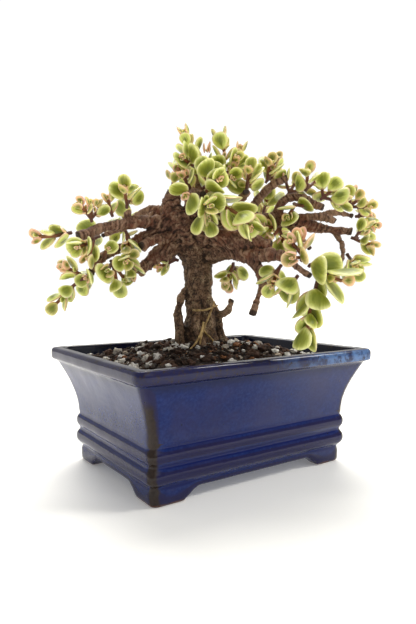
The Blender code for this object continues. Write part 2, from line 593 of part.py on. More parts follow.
def evaluated_body(item):
    """The item's surface as its modifiers leave it, in millimetres, for asking what is near."""
    bpy.context.view_layer.update()
    graph = bpy.context.evaluated_depsgraph_get()
    evaluated = item.evaluated_get(graph)
    mesh = evaluated.to_mesh()
    points = [vert.co / MM for vert in mesh.vertices]
    faces = [tuple(face.vertices) for face in mesh.polygons]
    evaluated.to_mesh_clear()
    return body_of(item.name, points, faces)


def body_of(name, points, faces):
    low = Vector([min(point[k] for point in points) for k in range(3)])
    high = Vector([max(point[k] for point in points) for k in range(3)])
    return {"name": name, "tree": BVHTree.FromPolygons(points, faces), "low": low, "high": high}


def bmesh_body(name, bm):
    bm.verts.index_update()
    points = [vert.co.copy() for vert in bm.verts]
    faces = [tuple(vert.index for vert in face.verts) for face in bm.faces]
    return body_of(name, points, faces)


def meets(one, other):
    apart = any(one["low"][k] > other["high"][k] or other["low"][k] > one["high"][k] for k in range(3))
    return not apart and bool(one["tree"].overlap(other["tree"]))


def inside(point, body):
    """Whether a point lies in a closed body: a ray from it then crosses the surface an odd number of times."""
    if any(not body["low"][k] <= point[k] <= body["high"][k] for k in range(3)):
        return False
    crossings, start = 0, point.copy()
    direction = Vector(RAY_DIRECTION).normalized()
    while crossings < MOST_CROSSINGS:
        hit = body["tree"].ray_cast(start, direction)[0]
        if hit is None:
            break
        crossings += 1
        start = hit + direction * RAY_STEP
    return crossings % 2 == 1


def stands_clear(point, bodies, room):
    return not any(body["tree"].find_nearest(point, room)[0] or inside(point, body) for body in bodies)


# ---------------------------------------------------------------- shoots

def reach_wood(points, wood):
    """A shoot's route with its first point brought onto the nearest wood, unless it starts inside some."""
    start = Vector(points[0])
    if any(inside(start, body) for body in wood):
        return points
    hits = [body["tree"].find_nearest(start) for body in wood]
    place, normal, _, distance = min(hits, key=lambda hit: hit[3])
    kept = points if distance > ROUTE_SLACK else points[1:]
    return [tuple(place - normal * GAP)] + list(kept)


def leave_wood(line, wood):
    """The first place along a line where a twig's square end stands clear of the wood."""
    room = TWIG_HALF * math.sqrt(2) + GAP
    for i, place in enumerate(line):
        if stands_clear(place, wood, room):
            return i
    raise ValueError("a shoot's route never leaves the wood")


def walk(points):
    """Evenly spaced places along the smooth curve through a shoot's points."""
    curve = [point.xyz for point in smooth_route([(*point, 1.0) for point in points], ROUTE_STEPS)]
    line, carried = [curve[0]], 0.0
    for a, b in zip(curve, curve[1:]):
        length = (b - a).length
        while carried + length >= STRIDE:
            a = a.lerp(b, (STRIDE - carried) / length)
            length = (b - a).length
            carried = 0.0
            line.append(a)
        carried += length
    return line


def square(place, side, up, half):
    """The corners of a square round a place."""
    return [place + half * (sx * side + sy * up) for sx, sy in ((1, 1), (-1, 1), (-1, -1), (1, -1))]


def stretch(bm, face, now, then):
    """Extrudes a face, moving its four corners from their places in now to the same places in then."""
    face = bmesh.ops.extrude_discrete_faces(bm, faces=[face])["faces"][0]
    corners = list(face.verts)
    orders = [[(first + way * i) % 4 for i in range(4)] for first in range(4) for way in (1, -1)]
    order = min(orders, key=lambda tried: sum((vert.co - now[k]).length for vert, k in zip(corners, tried)))
    for vert, k in zip(corners, order):
        vert.co = then[k]
    return face


def grow_twig(bm, face, rings, name):
    """Draws a twig out of a face through rings of (place, tangent, side, up, half). Every second stretch is
    a block that bears a pair of leaves. Returns the buds: where leaves and side twigs may grow."""
    buds = []
    pairs = (len(rings) - 2) // 2
    for k in range(1, len(rings)):
        now = square(rings[k - 1][0], *rings[k - 1][2:])
        then = square(rings[k][0], *rings[k][2:])
        face = stretch(bm, face, now, then)
        if k % 2 == 0 and k // 2 <= pairs:
            pair = k // 2 - 1
            _, tangent, side, up, _ = rings[k]
            middle = sum(now + then, Vector()) / 8
            around = [other for edge in face.edges for other in edge.link_faces if other is not face]
            for outward in ((side, -side) if pair % 2 == 0 else (up, -up)):
                chosen = max(around, key=lambda other: (other.calc_center_median() - middle).dot(outward))
                buds.append({"face": chosen, "outward": outward, "along": tangent, "pair": pair,
                             "share": pair / max(1, pairs - 1), "twig": name})
    return buds


def main_rings(line, start, length, rough):
    """Rings where a twig leaves the wood, before and after each pair of leaves, and at its tip."""
    first = start + FIRST_NODE / STRIDE
    last = len(line) - 1 - (TWIG_TIP + NODE_HALF) / STRIDE
    spacing = max(NODE_SPACING, length * NODE_PER_LEAF)
    pairs = max(1, 1 + round((last - first) * STRIDE / spacing))
    stations = [first + (last - first) * k / max(1, pairs - 1) for k in range(pairs)]
    marks = [start]
    for station in stations:
        marks += [round(station - NODE_HALF / STRIDE), round(station + NODE_HALF / STRIDE)]
    marks.append(len(line) - 1)
    frames = along_frames(line)
    rings, degrees = [], 0.0
    for k, mark in enumerate(marks):
        tangent, side, up = frames[mark]
        if k % 2 == 1 or k == 0:
            degrees = rough.uniform(-TWIG_TURN, TWIG_TURN)
        turn = Matrix.Rotation(math.radians(degrees), 3, tangent)
        half = TWIG_HALF * (TWIG_NARROWED if k == len(marks) - 1 else 1.0)
        rings.append((line[mark], tangent, turn @ side, turn @ up, half))
    return rings


def lay_twig(name, points, length, wood, crowd, rough):
    """The bare main twig of a shoot. Its route runs to the tips of its last leaves; where it would run
    into something it stops short."""
    line = walk(reach_wood(points, wood))
    start = leave_wood(line, wood)
    least = start + int((FIRST_NODE + 2 * NODE_HALF + TWIG_TIP + TWIG_SPARE) / STRIDE)
    end = max(least, len(line) - int(length * LEAF_PAST_TWIG / STRIDE))
    while len(line) <= end:
        line.append(line[-1] + (line[-1] - line[-2]))
    while True:
        rings = main_rings(line[:end], start, length, rough)
        bm = bmesh.new()
        foot = bm.faces.new([bm.verts.new(corner) for corner in square(rings[0][0], *rings[0][2:])])
        cap = foot.copy()
        buds = grow_twig(bm, cap, rings, name)
        body = bmesh_body(name, bm)
        if end <= least or not any(meets(body, other) for other in crowd):
            return bm, buds, body
        end -= int(ROUTE_CUT / STRIDE)


def side_twig_rings(bud, rough):
    """Rings of a short twig that leaves a bud, with two pairs of leaves."""
    base = bud["face"].calc_center_median()
    across = bud["along"].cross(bud["outward"])
    lift = math.radians(rough.uniform(*SIDE_TWIG_LIFT))
    axis = bud["outward"] * math.cos(lift) + bud["along"] * math.sin(lift)
    normal = bud["along"] * math.cos(lift) - bud["outward"] * math.sin(lift)
    rings = [(base, bud["outward"], across, bud["along"], TWIG_HALF)]
    reach = SIDE_TWIG_FIRST
    for _ in range(2):
        for step in (0.0, 2 * NODE_HALF):
            rings.append((base + axis * (reach + step), axis, across, normal, TWIG_HALF))
        reach += SIDE_TWIG_SPACING
    tip = reach - SIDE_TWIG_SPACING + 2 * NODE_HALF + TWIG_TIP
    rings.append((base + axis * tip, axis, across, normal, TWIG_HALF * TWIG_NARROWED))
    return rings


def grow_side_twig(bm, bud, crowd, rough):
    """A side twig with its buds, if there is room for it."""
    rings = side_twig_rings(bud, rough)
    base, tip = rings[0][0], rings[-1][0]
    near = base.lerp(tip, SIDE_TWIG_FREE)
    _, _, across, normal, _ = rings[1]
    room = square(near, across, normal, TWIG_HALF + LEAF_ROOM)
    room += square(tip.lerp(base, -SIDE_TWIG_AHEAD), across, normal, TWIG_HALF + LEAF_ROOM)
    name = f"{bud['twig']}_{bud['pair']}_{len(crowd)}"
    body = body_of(name, room, BOX_FACES)
    if any(meets(body, other) for other in crowd if other["name"] != bud["twig"]):
        return None
    crowd.append(body)
    return grow_twig(bm, bud["face"], rings, name)


def leaf_edges(base, bud, length, lift):
    """A leaf's foot on the twig, its widest place and its tip, each as (upper left, upper right, lower
    right, lower left). The upper side is flat, the underside bulges and the tip is an edge."""
    outward, along = bud["outward"], bud["along"]
    across = along.cross(outward)
    angle = math.radians(lift)
    axis = outward * math.cos(angle) + along * math.sin(angle)
    normal = along * math.cos(angle) - outward * math.sin(angle)
    foot_up = Vector((NODE_HALF * math.sin(angle), NODE_HALF * math.cos(angle)))
    tip = Vector((length, LEAF_TIP_RISE))
    widest_up = foot_up.lerp(tip, LEAF_WIDEST)
    widest_down = Vector((widest_up.x, widest_up.y - LEAF_THICKNESS))
    width = length * (LEAF_NARROW + (LEAF_ROUND - LEAF_NARROW) * min(1.0, length / LEAF_LARGE))
    places = (
        (foot_up, -foot_up, 2 * TWIG_HALF, 2 * TWIG_HALF),
        (widest_up, widest_down, width, width * LEAF_BELLY),
        (tip, tip, width * LEAF_TIP_WIDTH, width * LEAF_TIP_WIDTH),
    )
    edges = []
    for upper, lower, wide_above, wide_below in places:
        high = base + axis * upper.x + normal * upper.y
        low = base + axis * lower.x + normal * lower.y
        above, below = across * wide_above / 2, across * wide_below / 2
        edges.append((high - above, high + above, low + below, low - below))
    return edges


def leaf_room(edges):
    """The leaf's shape grown by the room that it needs, without its foot."""
    foot, widest, tip = edges
    start = [corner.lerp(wide, LEAF_FREE) for corner, wide in zip(foot, widest)]
    onward = (tip[0] - widest[0]).normalized() * LEAF_ROOM
    above = (widest[0] - widest[3]).normalized() * LEAF_ROOM
    across = (widest[1] - widest[0]).normalized() * LEAF_ROOM
    outs = (above - across, above + across, across - above, -across - above)
    points = []
    for ring in (start, widest, tip):
        points += [corner + out + (onward if ring is tip else Vector()) for corner, out in zip(ring, outs)]
    return body_of("leaf", points, LEAF_FACES)


def grow_leaf(bm, bud, length, crowd, rough):
    """Gives a bud a leaf at the first size and lift that has room. Returns whether one grew."""
    base = bud["face"].calc_center_median()
    share = bud["share"]
    size = length * rough.uniform(*LEAF_SPREAD) * (1.0 - YOUNG_LEAF_SHRINK * share**2)
    extra_lift = TIP_LIFT * share + rough.uniform(-LEAF_SWAY, LEAF_SWAY)
    others = [body for body in crowd if body["name"] != bud["twig"]]
    for scale in LEAF_SCALES:
        for lift in LEAF_LIFTS:
            edges = leaf_edges(base, bud, size * scale, max(0.0, min(MOST_LIFT, lift + extra_lift)))
            room = leaf_room(edges)
            if not any(meets(room, other) for other in others):
                face = stretch(bm, bud["face"], edges[0], edges[1])
                stretch(bm, face, edges[1], edges[2])
                crowd.append(room)
                return True
    return False


def build_shoots(wood, others, material):
    """Main twigs are laid first, then side twigs, so that leaves take only the room that is left."""
    rough = random.Random(SPRAY_SEED)
    crowd = wood + others
    laid = []
    for name, (points, length, branching) in SHOOTS.items():
        bm, buds, body = lay_twig(name, with_the_pot(points), length, wood, crowd, rough)
        crowd.append(body)
        laid.append((name, bm, buds, length, branching))
    ready = []
    for name, bm, buds, length, branching in laid:
        kept = []
        for bud in buds:
            may_branch = branching and bud["pair"] % 2 == 0 and bud["share"] < BRANCHING_SHARE
            side_buds = grow_side_twig(bm, bud, crowd, rough) if may_branch else None
            kept += side_buds or [bud]
        ready.append((name, bm, kept, length))
    grown = 0
    for name, bm, buds, length in ready:
        for bud in buds:
            grown += grow_leaf(bm, bud, length, crowd, rough)
        bmesh.ops.remove_doubles(bm, verts=bm.verts, dist=MERGE)
        solid_object(name, bm, material)
    print("leaves:", grown)


def stand_over_origin():
    """Moves everything so that the middle of the whole object's box is over the origin."""
    pieces = [item for item in bpy.data.objects if not item.hide_render]
    bodies = [evaluated_body(item) for item in pieces]
    middle = [(min(b["low"][k] for b in bodies) + max(b["high"][k] for b in bodies)) / 2 for k in range(2)]
    shift = Vector((-round(middle[0], 1), -round(middle[1], 1), 0.0))
    for item in bpy.data.objects:
        item.data.transform(Matrix.Translation(shift * MM))
    print("the pot's middle is now at", round(shift.x, 1), round(shift.y, 1), "mm")


def main():
    clear_scene()
    glaze = make_material("cobalt_glaze", (0.012, 0.025, 0.16), 0.16)
    mesh_plastic = make_material("mesh_plastic", (0.02, 0.022, 0.02), 0.5)
    potting_mix = make_material("potting_mix", (0.05, 0.032, 0.022), 0.95)
    bark = make_material("bark", (0.15, 0.085, 0.06), 0.85)
    leaf = make_material("variegated_leaf", (0.45, 0.55, 0.16), 0.35)

    pot = build_pot(glaze)
    build_drain_mesh("drain_mesh_left", -1, mesh_plastic)
    build_drain_mesh("drain_mesh_right", 1, mesh_plastic)
    soil = build_soil(potting_mix)
    wood, bodies, trunk_cutter = build_wood(bark)
    boolean(soil, trunk_cutter, "DIFFERENCE")
    build_shoots(bodies, [evaluated_body(pot), evaluated_body(soil)], leaf)
    stand_over_origin()


main()
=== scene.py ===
# %% [markdown]
# # A variegated elephant bush, grown as a bonsai in a glazed pot
#
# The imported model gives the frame: where the pot, the soil, the wood and each
# shoot are, and how large. This lesson dresses that frame. Nearly every piece
# below is worked out from the frame's own meshes, so that little has to be
# fitted by eye.

import math
import random

import bmesh
import bpy
import numpy as np
from mathutils import Matrix, Vector, noise
from mathutils.bvhtree import BVHTree


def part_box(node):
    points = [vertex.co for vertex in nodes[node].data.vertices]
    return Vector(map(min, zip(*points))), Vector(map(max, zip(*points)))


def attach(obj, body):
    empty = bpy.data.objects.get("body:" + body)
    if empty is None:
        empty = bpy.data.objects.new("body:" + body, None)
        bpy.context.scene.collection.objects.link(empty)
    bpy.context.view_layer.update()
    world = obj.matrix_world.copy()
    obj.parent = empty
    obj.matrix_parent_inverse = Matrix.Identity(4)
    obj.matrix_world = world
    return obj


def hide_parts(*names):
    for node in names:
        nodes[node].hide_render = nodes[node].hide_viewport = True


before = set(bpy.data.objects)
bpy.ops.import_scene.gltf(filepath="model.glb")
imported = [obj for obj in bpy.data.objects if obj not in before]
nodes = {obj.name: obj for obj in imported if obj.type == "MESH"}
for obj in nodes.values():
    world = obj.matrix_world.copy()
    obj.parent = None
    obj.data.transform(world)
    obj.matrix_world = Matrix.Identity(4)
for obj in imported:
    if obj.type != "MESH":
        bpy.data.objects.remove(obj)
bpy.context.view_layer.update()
MM = 0.001
print("frame:", len(nodes), "nodes")

# %% [markdown]
# ## The camera
#
# The tree is seen from a little above the rim of the pot, past its near left
# corner. A Track To constraint could turn the camera, but a matrix of its three
# axes also holds the slight tilt of the view. It is placed from the middle of
# the pot, so it follows the pot, and it comes first, because all the looks are
# judged through it.

# %% Place the camera
pot_low, pot_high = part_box("pot")
pot_middle = (pot_low + pot_high) / 2
CAMERA_PLACE = Vector((-179.7, -261.9, 104.4)) * MM
CAMERA_AHEAD = Vector((0.5639, 0.8246, -0.0458))
CAMERA_UP = Vector((0.0267, 0.0372, 0.99895))
CAMERA_LENS = 30.42
SENSOR_HEIGHT = 36.0


def place_camera():
    """Builds the camera's axes from the way that it looks and the way that is up for it."""
    data = bpy.data.cameras.new("camera")
    data.sensor_fit = "VERTICAL"
    data.sensor_height = SENSOR_HEIGHT
    data.lens = CAMERA_LENS
    data.clip_start = 0.01
    camera = bpy.data.objects.new("camera", data)
    bpy.context.scene.collection.objects.link(camera)
    ahead = CAMERA_AHEAD.normalized()
    right = ahead.cross(CAMERA_UP).normalized()
    up = right.cross(ahead)
    turn = Matrix((right, up, -ahead)).transposed().to_4x4()
    spot = Vector((pot_middle.x, pot_middle.y, 0)) + CAMERA_PLACE
    camera.matrix_world = Matrix.Translation(spot) @ turn
    bpy.context.scene.camera = camera
    return spot


camera_spot = place_camera()
print("camera:", [round(v, 4) for v in camera_spot])

# %% [markdown]
# ## The room
#
# A white table top and soft white light from all round, brightest from behind
# and above, so that the thin leaves glow and the fronts of the limbs are dark.
# With lamps alone, the glaze would be black wherever it mirrors an empty room.
# So the sky gives most of the light, and the lamps only give it a direction.
# The floor isn't part of the object.

# %% Floor and sky
FLOOR_HALF = 6.0
FLOOR_WHITE = (0.90, 0.895, 0.87, 1)
FLOOR_GLOW = 0.16  # keeps the shadow on it light
GLOW_WHITE = (0.97, 0.985, 1.0, 1)
SKY_WHITE = (1.0, 0.985, 0.96, 1)
SKY_LIGHT = (0.30, 0.58)  # in front and behind
SKY_EDGES = (-0.6, 0.6)  # where the one ends and the other begins
BACKDROP_LIGHT = 1.05


def make_floor():
    bm = bmesh.new()
    bmesh.ops.create_grid(bm, x_segments=1, y_segments=1, size=FLOOR_HALF)
    mesh = bpy.data.meshes.new("floor")
    bm.to_mesh(mesh)
    bm.free()
    floor = bpy.data.objects.new("floor", mesh)
    bpy.context.scene.collection.objects.link(floor)
    material = bpy.data.materials.new("table_top")
    material.use_nodes = True
    shader = material.node_tree.nodes["Principled BSDF"]
    shader.inputs["Base Color"].default_value = FLOOR_WHITE
    shader.inputs["Roughness"].default_value = 0.7
    shader.inputs["Emission Color"].default_value = GLOW_WHITE
    shader.inputs["Emission Strength"].default_value = FLOOR_GLOW
    mesh.materials.append(material)


def make_sky():
    """The camera sees plain white. The object is lit by a softer white, dimmer in front than behind."""
    world = bpy.data.worlds.new("studio")
    world.use_nodes = True
    tree = world.node_tree
    lit = tree.nodes["Background"]
    lit.inputs["Color"].default_value = SKY_WHITE
    way = tree.nodes.new("ShaderNodeSeparateXYZ")
    tree.links.new(tree.nodes.new("ShaderNodeTexCoord").outputs["Generated"], way.inputs[0])
    fade = tree.nodes.new("ShaderNodeMapRange")
    tree.links.new(way.outputs["Y"], fade.inputs[0])
    for socket, number in zip(list(fade.inputs)[1:5], SKY_EDGES + SKY_LIGHT):
        socket.default_value = number
    tree.links.new(fade.outputs[0], lit.inputs["Strength"])
    seen = tree.nodes.new("ShaderNodeBackground")
    seen.inputs["Color"].default_value = (1, 1, 1, 1)
    seen.inputs["Strength"].default_value = BACKDROP_LIGHT
    ray = tree.nodes.new("ShaderNodeLightPath")
    mix = tree.nodes.new("ShaderNodeMixShader")
    tree.links.new(ray.outputs["Is Camera Ray"], mix.inputs[0])
    tree.links.new(lit.outputs[0], mix.inputs[1])
    tree.links.new(seen.outputs[0], mix.inputs[2])
    tree.links.new(mix.outputs[0], tree.nodes["World Output"].inputs["Surface"])
    bpy.context.scene.world = world


make_floor()
make_sky()
print("floor and sky made")

# %% [markdown]
# Three lamps: a wide sun behind the tree, a smaller one on the right, whose
# edge draws the bark, and a large weak panel in front, which the glaze mirrors.
# Suns are used for the first two, because their light doesn't fade with
# distance, so it doesn't matter how large the object is.

# %% Lamps
WARM = (1.0, 0.98, 0.93)


def add_sun(name, comes_from, strength, spread):
    light = bpy.data.lights.new(name, "SUN")
    light.energy = strength
    light.color = WARM
    light.angle = math.radians(spread)
    lamp = bpy.data.objects.new(name, light)
    lamp.rotation_euler = Vector(comes_from).to_track_quat("Z", "Y").to_euler()
    bpy.context.scene.collection.objects.link(lamp)


def add_panel(name, place, target, size, watts):
    light = bpy.data.lights.new(name, "AREA")
    light.energy = watts
    light.size = size
    lamp = bpy.data.objects.new(name, light)
    lamp.location = place
    lamp.rotation_euler = (Vector(place) - Vector(target)).to_track_quat("Z", "Y").to_euler()
    bpy.context.scene.collection.objects.link(lamp)


add_sun("light_behind", (0.30, 0.60, 0.9), 3.5, 50)
add_sun("light_right", (0.75, -0.45, 0.75), 1.4, 16)
add_panel("light_front", (0.1, -1.1, 0.75), (0, 0, 0.1), 0.9, 2.2)
bpy.context.scene.view_settings.view_transform = "Standard"

# %% [markdown]
# ## Helpers for meshes
#
# A modelled block has flat faces and hard edges. Clay, bark and stems have
# neither. They could be sculpted by hand, but a skin can be worked out: an even
# layer of small quads over the frame's mesh (a voxel remesh), which numpy then
# smooths, swells and marks. These first helpers move numbers between a mesh
# and numpy.

# %% Read and write meshes
def read_points(mesh):
    points = np.zeros(len(mesh.vertices) * 3)
    mesh.vertices.foreach_get("co", points)
    return points.reshape(-1, 3)


def write_points(mesh, points):
    mesh.vertices.foreach_set("co", points.ravel())
    mesh.update()


def read_normals(mesh):
    normals = np.zeros(len(mesh.vertices) * 3)
    mesh.vertex_normals.foreach_get("vector", normals)
    return normals.reshape(-1, 3)


def read_edges(mesh):
    edges = np.zeros(len(mesh.edges) * 2, int)
    mesh.edges.foreach_get("vertices", edges)
    return edges.reshape(-1, 2)


def mark(mesh, name, values):
    """Stores one number for each vertex, which a material can read."""
    layer = mesh.attributes.new(name, "FLOAT", "POINT")
    layer.data.foreach_set("value", np.asarray(values, np.float32))


# %% [markdown]
# Smoothing is an average over neighbours. A Smooth modifier does the same, but
# here the averaged numbers themselves are needed too, for instance to tell a
# hollow from an edge. Plain smoothing also thins a twig, so each round of it is
# followed by a step back out.

# %% Smooth and skin
SWELL = 1.04  # how far the step back out goes
MERGE = 0.01 * MM


def averaged(values, edges, rounds):
    """Draws each vertex's value half way to the mean of its neighbours', that many times."""
    count = len(values)
    values = np.array(values, float).reshape(count, -1)
    here = np.concatenate([edges[:, 0], edges[:, 1]])
    there = np.concatenate([edges[:, 1], edges[:, 0]])
    neighbours = np.bincount(here, minlength=count)[:, None]
    for _ in range(rounds):
        sums = [np.bincount(here, values[there, k], count) for k in range(values.shape[1])]
        values = (values + np.stack(sums, 1) / neighbours) / 2
    return values


def rounded(points, edges, rounds):
    """Smooths a shape and swells it back after each round, so that thin parts keep their thickness."""
    for _ in range(rounds):
        points = averaged(points, edges, 1)
        points = points + SWELL * (points - averaged(points, edges, 1))
    return points


def rough_noise(points, size, seed, detail=3):
    """Fractal noise at each point, for lumps of about that size, about 0."""
    shift = Vector((seed * 7.3, seed * 3.1, seed * 5.7))
    return np.array([noise.fractal(Vector(p) / size + shift, 0.9, 2.1, detail) for p in points])


def joined_mesh(names):
    """One mesh of those nodes of the frame."""
    bm = bmesh.new()
    for name in names:
        bm.from_mesh(nodes[name].data)
    bmesh.ops.remove_doubles(bm, verts=bm.verts, dist=MERGE)
    mesh = bpy.data.meshes.new("joined")
    bm.to_mesh(mesh)
    bm.free()
    return mesh


def skinned(mesh, name, voxel):
    """An even skin of quads over a mesh, as a new mesh."""
    item = bpy.data.objects.new(name, mesh)
    bpy.context.scene.collection.objects.link(item)
    skin = item.modifiers.new("skin", "REMESH")
    skin.mode = "VOXEL"
    skin.voxel_size = voxel
    ready = item.evaluated_get(bpy.context.evaluated_depsgraph_get())
    made = bpy.data.meshes.new_from_object(ready)
    bpy.data.objects.remove(item)
    made.name = name
    return made


# %% [markdown]
# Each finished mesh becomes a piece of the object: it rides with the root body,
# takes its finishes, and hides the frame's nodes that it stands in for.

# %% Finish a piece
def finish_piece(name, mesh, materials, replaced=()):
    """Puts a mesh in the scene as a piece of the object that rides with the root body."""
    mesh.polygons.foreach_set("use_smooth", [True] * len(mesh.polygons))
    for material in materials:
        mesh.materials.append(material)
    piece = bpy.data.objects.new(name, mesh)
    bpy.context.scene.collection.objects.link(piece)
    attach(piece, "root")
    if replaced:
        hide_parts(*replaced)
    return piece


# %% [markdown]
# ## Helpers for materials
#
# Painted image textures could colour the pieces, but they need unwrapped
# surfaces and blur close up. All the finishes are worked out by nodes instead,
# from the place on the object and from the numbers marked on the meshes. These
# helpers add one node at a time and join it up, which keeps each finish short.

# %% Material helpers
class Finish:
    """A material under construction: its node tree, its shader and short ways to add nodes."""

    def __init__(self, name):
        self.material = bpy.data.materials.new(name)
        self.material.use_nodes = True
        self.tree = self.material.node_tree
        self.shader = self.tree.nodes["Principled BSDF"]
        self.place = self.tree.nodes.new("ShaderNodeTexCoord").outputs["Object"]

    def put(self, socket, value):
        """Links a node's output to a socket, or sets the socket to a number or a colour."""
        if isinstance(value, bpy.types.NodeSocket):
            self.tree.links.new(value, socket)
        elif isinstance(value, tuple) and len(value) == 3 and len(socket.default_value) == 4:
            socket.default_value = (*value, 1)
        else:
            socket.default_value = value

    def marked(self, name):
        node = self.tree.nodes.new("ShaderNodeAttribute")
        node.attribute_name = name
        return node.outputs["Fac"]

    def noise(self, size, detail=4, roughness=0.6, place=None, distortion=0.0):
        """Noise with lumps of about that many millimetres, or of that size in a place of its own."""
        node = self.tree.nodes.new("ShaderNodeTexNoise")
        self.put(node.inputs["Vector"], self.place if place is None else place)
        node.inputs["Scale"].default_value = 1 / (size * MM) if place is None else 1 / size
        node.inputs["Detail"].default_value = detail
        node.inputs["Roughness"].default_value = roughness
        node.inputs["Distortion"].default_value = distortion
        return node.outputs["Fac"]

    def cells(self, size, output="Distance"):
        """Irregular cells of about that many millimetres."""
        node = self.tree.nodes.new("ShaderNodeTexVoronoi")
        self.put(node.inputs["Vector"], self.place)
        node.inputs["Scale"].default_value = 1 / (size * MM)
        return node.outputs[output]

    def math(self, operation, first, second):
        node = self.tree.nodes.new("ShaderNodeMath")
        node.operation = operation
        self.put(node.inputs[0], first)
        self.put(node.inputs[1], second)
        return node.outputs[0]

    def times(self, first, *others):
        for other in others:
            first = self.math("MULTIPLY", first, other)
        return first

    def plus(self, first, second):
        return self.math("ADD", first, second)

    def steps(self, value, low, high, out_low=0.0, out_high=1.0):
        """A smooth step from one range to another."""
        node = self.tree.nodes.new("ShaderNodeMapRange")
        node.interpolation_type = "SMOOTHSTEP"
        for socket, number in zip(node.inputs, (value, low, high, out_low, out_high)):
            self.put(socket, number)
        return node.outputs[0]

    def mix(self, share, first, second):
        """A colour between two others. The share is that of the second."""
        node = self.tree.nodes.new("ShaderNodeMix")
        node.data_type = "RGBA"
        self.put(node.inputs["Factor"], share)
        self.put(node.inputs[6], first)
        self.put(node.inputs[7], second)
        return node.outputs[2]

    def bump(self, height, depth, strength=1.0):
        """Depth is in millimetres for a height that goes from 0 to 1."""
        node = self.tree.nodes.new("ShaderNodeBump")
        node.inputs["Distance"].default_value = depth * MM
        node.inputs["Strength"].default_value = strength
        self.put(node.inputs["Height"], height)
        self.put(self.shader.inputs["Normal"], node.outputs["Normal"])

    def set(self, **values):
        """Sets or links the shader's sockets, with _ for a space in their names."""
        for name, value in values.items():
            self.put(self.shader.inputs[name.replace("_", " ")], value)


# %% [markdown]
# ## The pot
#
# The pot is stoneware, thickly glazed. Glaze rounds every edge, pools dark in
# the grooves and runs thin over the sharp corners, where the brown clay shows.
# A Bevel modifier would round all the edges alike, as if they were machined.
# So a skin over the frame's pot is smoothed, given a slight wave and swollen by
# the thickness of the glaze. Comparing each point with a much smoother copy of
# the pot then tells hollows from edges, and that one number steers the colour.

# %% Shape the glazed pot
POT_SKIN = 1.15 * MM
POT_SMOOTHING = 7
GLAZE_THICKNESS = 0.3 * MM
HOLLOW_ROUNDS = 30
GLAZE_WAVE = 0.16 * MM  # how uneven the walls are
WAVE_SIZE = 22 * MM
WAVE_FROM = 3 * MM  # it fades out below this height, so that the feet stay flat
OUTER_GAIN = 1.6


def from_corner(points):
    """How far each point is from the upright outer corner that is nearest to it, along the wall."""
    away = np.abs(points[:, :2] - np.array(pot_middle[:2]))
    level = np.round((points[:, 2] / MM).clip(0, 99)).astype(int)
    widest = np.zeros((level.max() + 1, 2))
    for k in (0, 1):
        np.maximum.at(widest[:, k], level, away[:, k])
    return (widest[level] - away).max(1)


def facing_out(points, normals):
    """1 where the pot's surface faces away from its middle, 0 where it faces up, down or in."""
    away = (points[:, :2] - np.array(pot_middle[:2])) / np.array((pot_high - pot_low)[:2])
    side = np.abs(away[:, 0]) > np.abs(away[:, 1])
    facing = normals[:, :2] * np.sign(away)
    return np.clip(np.where(side, facing[:, 0], facing[:, 1]) * OUTER_GAIN, 0, 1)


def shape_pot():
    mesh = skinned(joined_mesh(["pot"]), "glazed_pot", POT_SKIN)
    edges = read_edges(mesh)
    points = rounded(read_points(mesh), edges, POT_SMOOTHING)
    write_points(mesh, points)
    normals = read_normals(mesh)
    smoother = averaged(points, edges, HOLLOW_ROUNDS)
    hollow = ((smoother - points) * normals).sum(1) / MM
    wave = rough_noise(points, WAVE_SIZE, 1, 2)
    standing = np.clip(points[:, 2] / WAVE_FROM, 0, 1)
    points += normals * (wave * GLAZE_WAVE * standing + GLAZE_THICKNESS)[:, None]
    points[:, 2] = np.maximum(points[:, 2], 0)
    write_points(mesh, points)
    mark(mesh, "hollow", hollow)
    mark(mesh, "corner", from_corner(points) / MM)
    mark(mesh, "outer", facing_out(points, read_normals(mesh)))
    print("pot:", len(mesh.polygons), "quads, hollow", hollow.min().round(2), "to", hollow.max().round(2))
    return mesh


pot_mesh = shape_pot()

# %% [markdown]
# The glaze is cobalt blue with a fine violet bloom, which also makes it a
# little less smooth in places, and brown down the four corners, where it has
# run off and left the clay bare. Painted shade makes it almost black inside
# and under the rim, and a painted highlight makes one end of the rim paler.
# One colour with a clear coat would look like plastic, so the parts are laid
# over each other, each by its own share.

# %% Make the cobalt glaze
RIM_BAND = pot_high.z - 6.5 * MM  # the height where the rim begins
# the heights over which the painted shade inside the pot fades in
INNER_SHADE_HEIGHTS = (pot_high.z - 23 * MM, pot_high.z - 18 * MM)
BARE_CORNER = (pot_high.z - 21 * MM, pot_high.z - 13 * MM)  # bare below the first, glazed above the second
CORNER_WIDTH = (4.4, 6.4)  # in millimetres, with its wander
BARE_FOOT = (0.4 * MM, 2.0 * MM)
# where the painted highlight on the rim fades in, along X
HIGHLIGHT_END = (-10 * MM, 60 * MM)
DEEP_BLUE = (0.003, 0.013, 0.094)
BLOOM_BLUE = (0.010, 0.027, 0.148)
CLOUD_VIOLET = (0.026, 0.024, 0.085)
POOL_BLUE = (0.001, 0.007, 0.085)
SHADE_BLUE = (0.003, 0.007, 0.045)
RIM_BLACK = (0.002, 0.003, 0.010)
RIM_BLUE = (0.012, 0.027, 0.092)
CREST_VIOLET = (0.014, 0.011, 0.050)
# painted highlight: the paler blue that the rim's outer face mirrors towards +X
RIM_HIGHLIGHT_BLUE = (0.100, 0.190, 0.400)
# painted shade inside the pot
INNER_SHADE_BLUE = (0.003, 0.005, 0.022)
FIRED_CLAY = ((0.010, 0.008, 0.008), (0.048, 0.030, 0.022))
FOOT_CLAY = (0.115, 0.040, 0.020)
PIT_BLACK = (0.004, 0.004, 0.008)


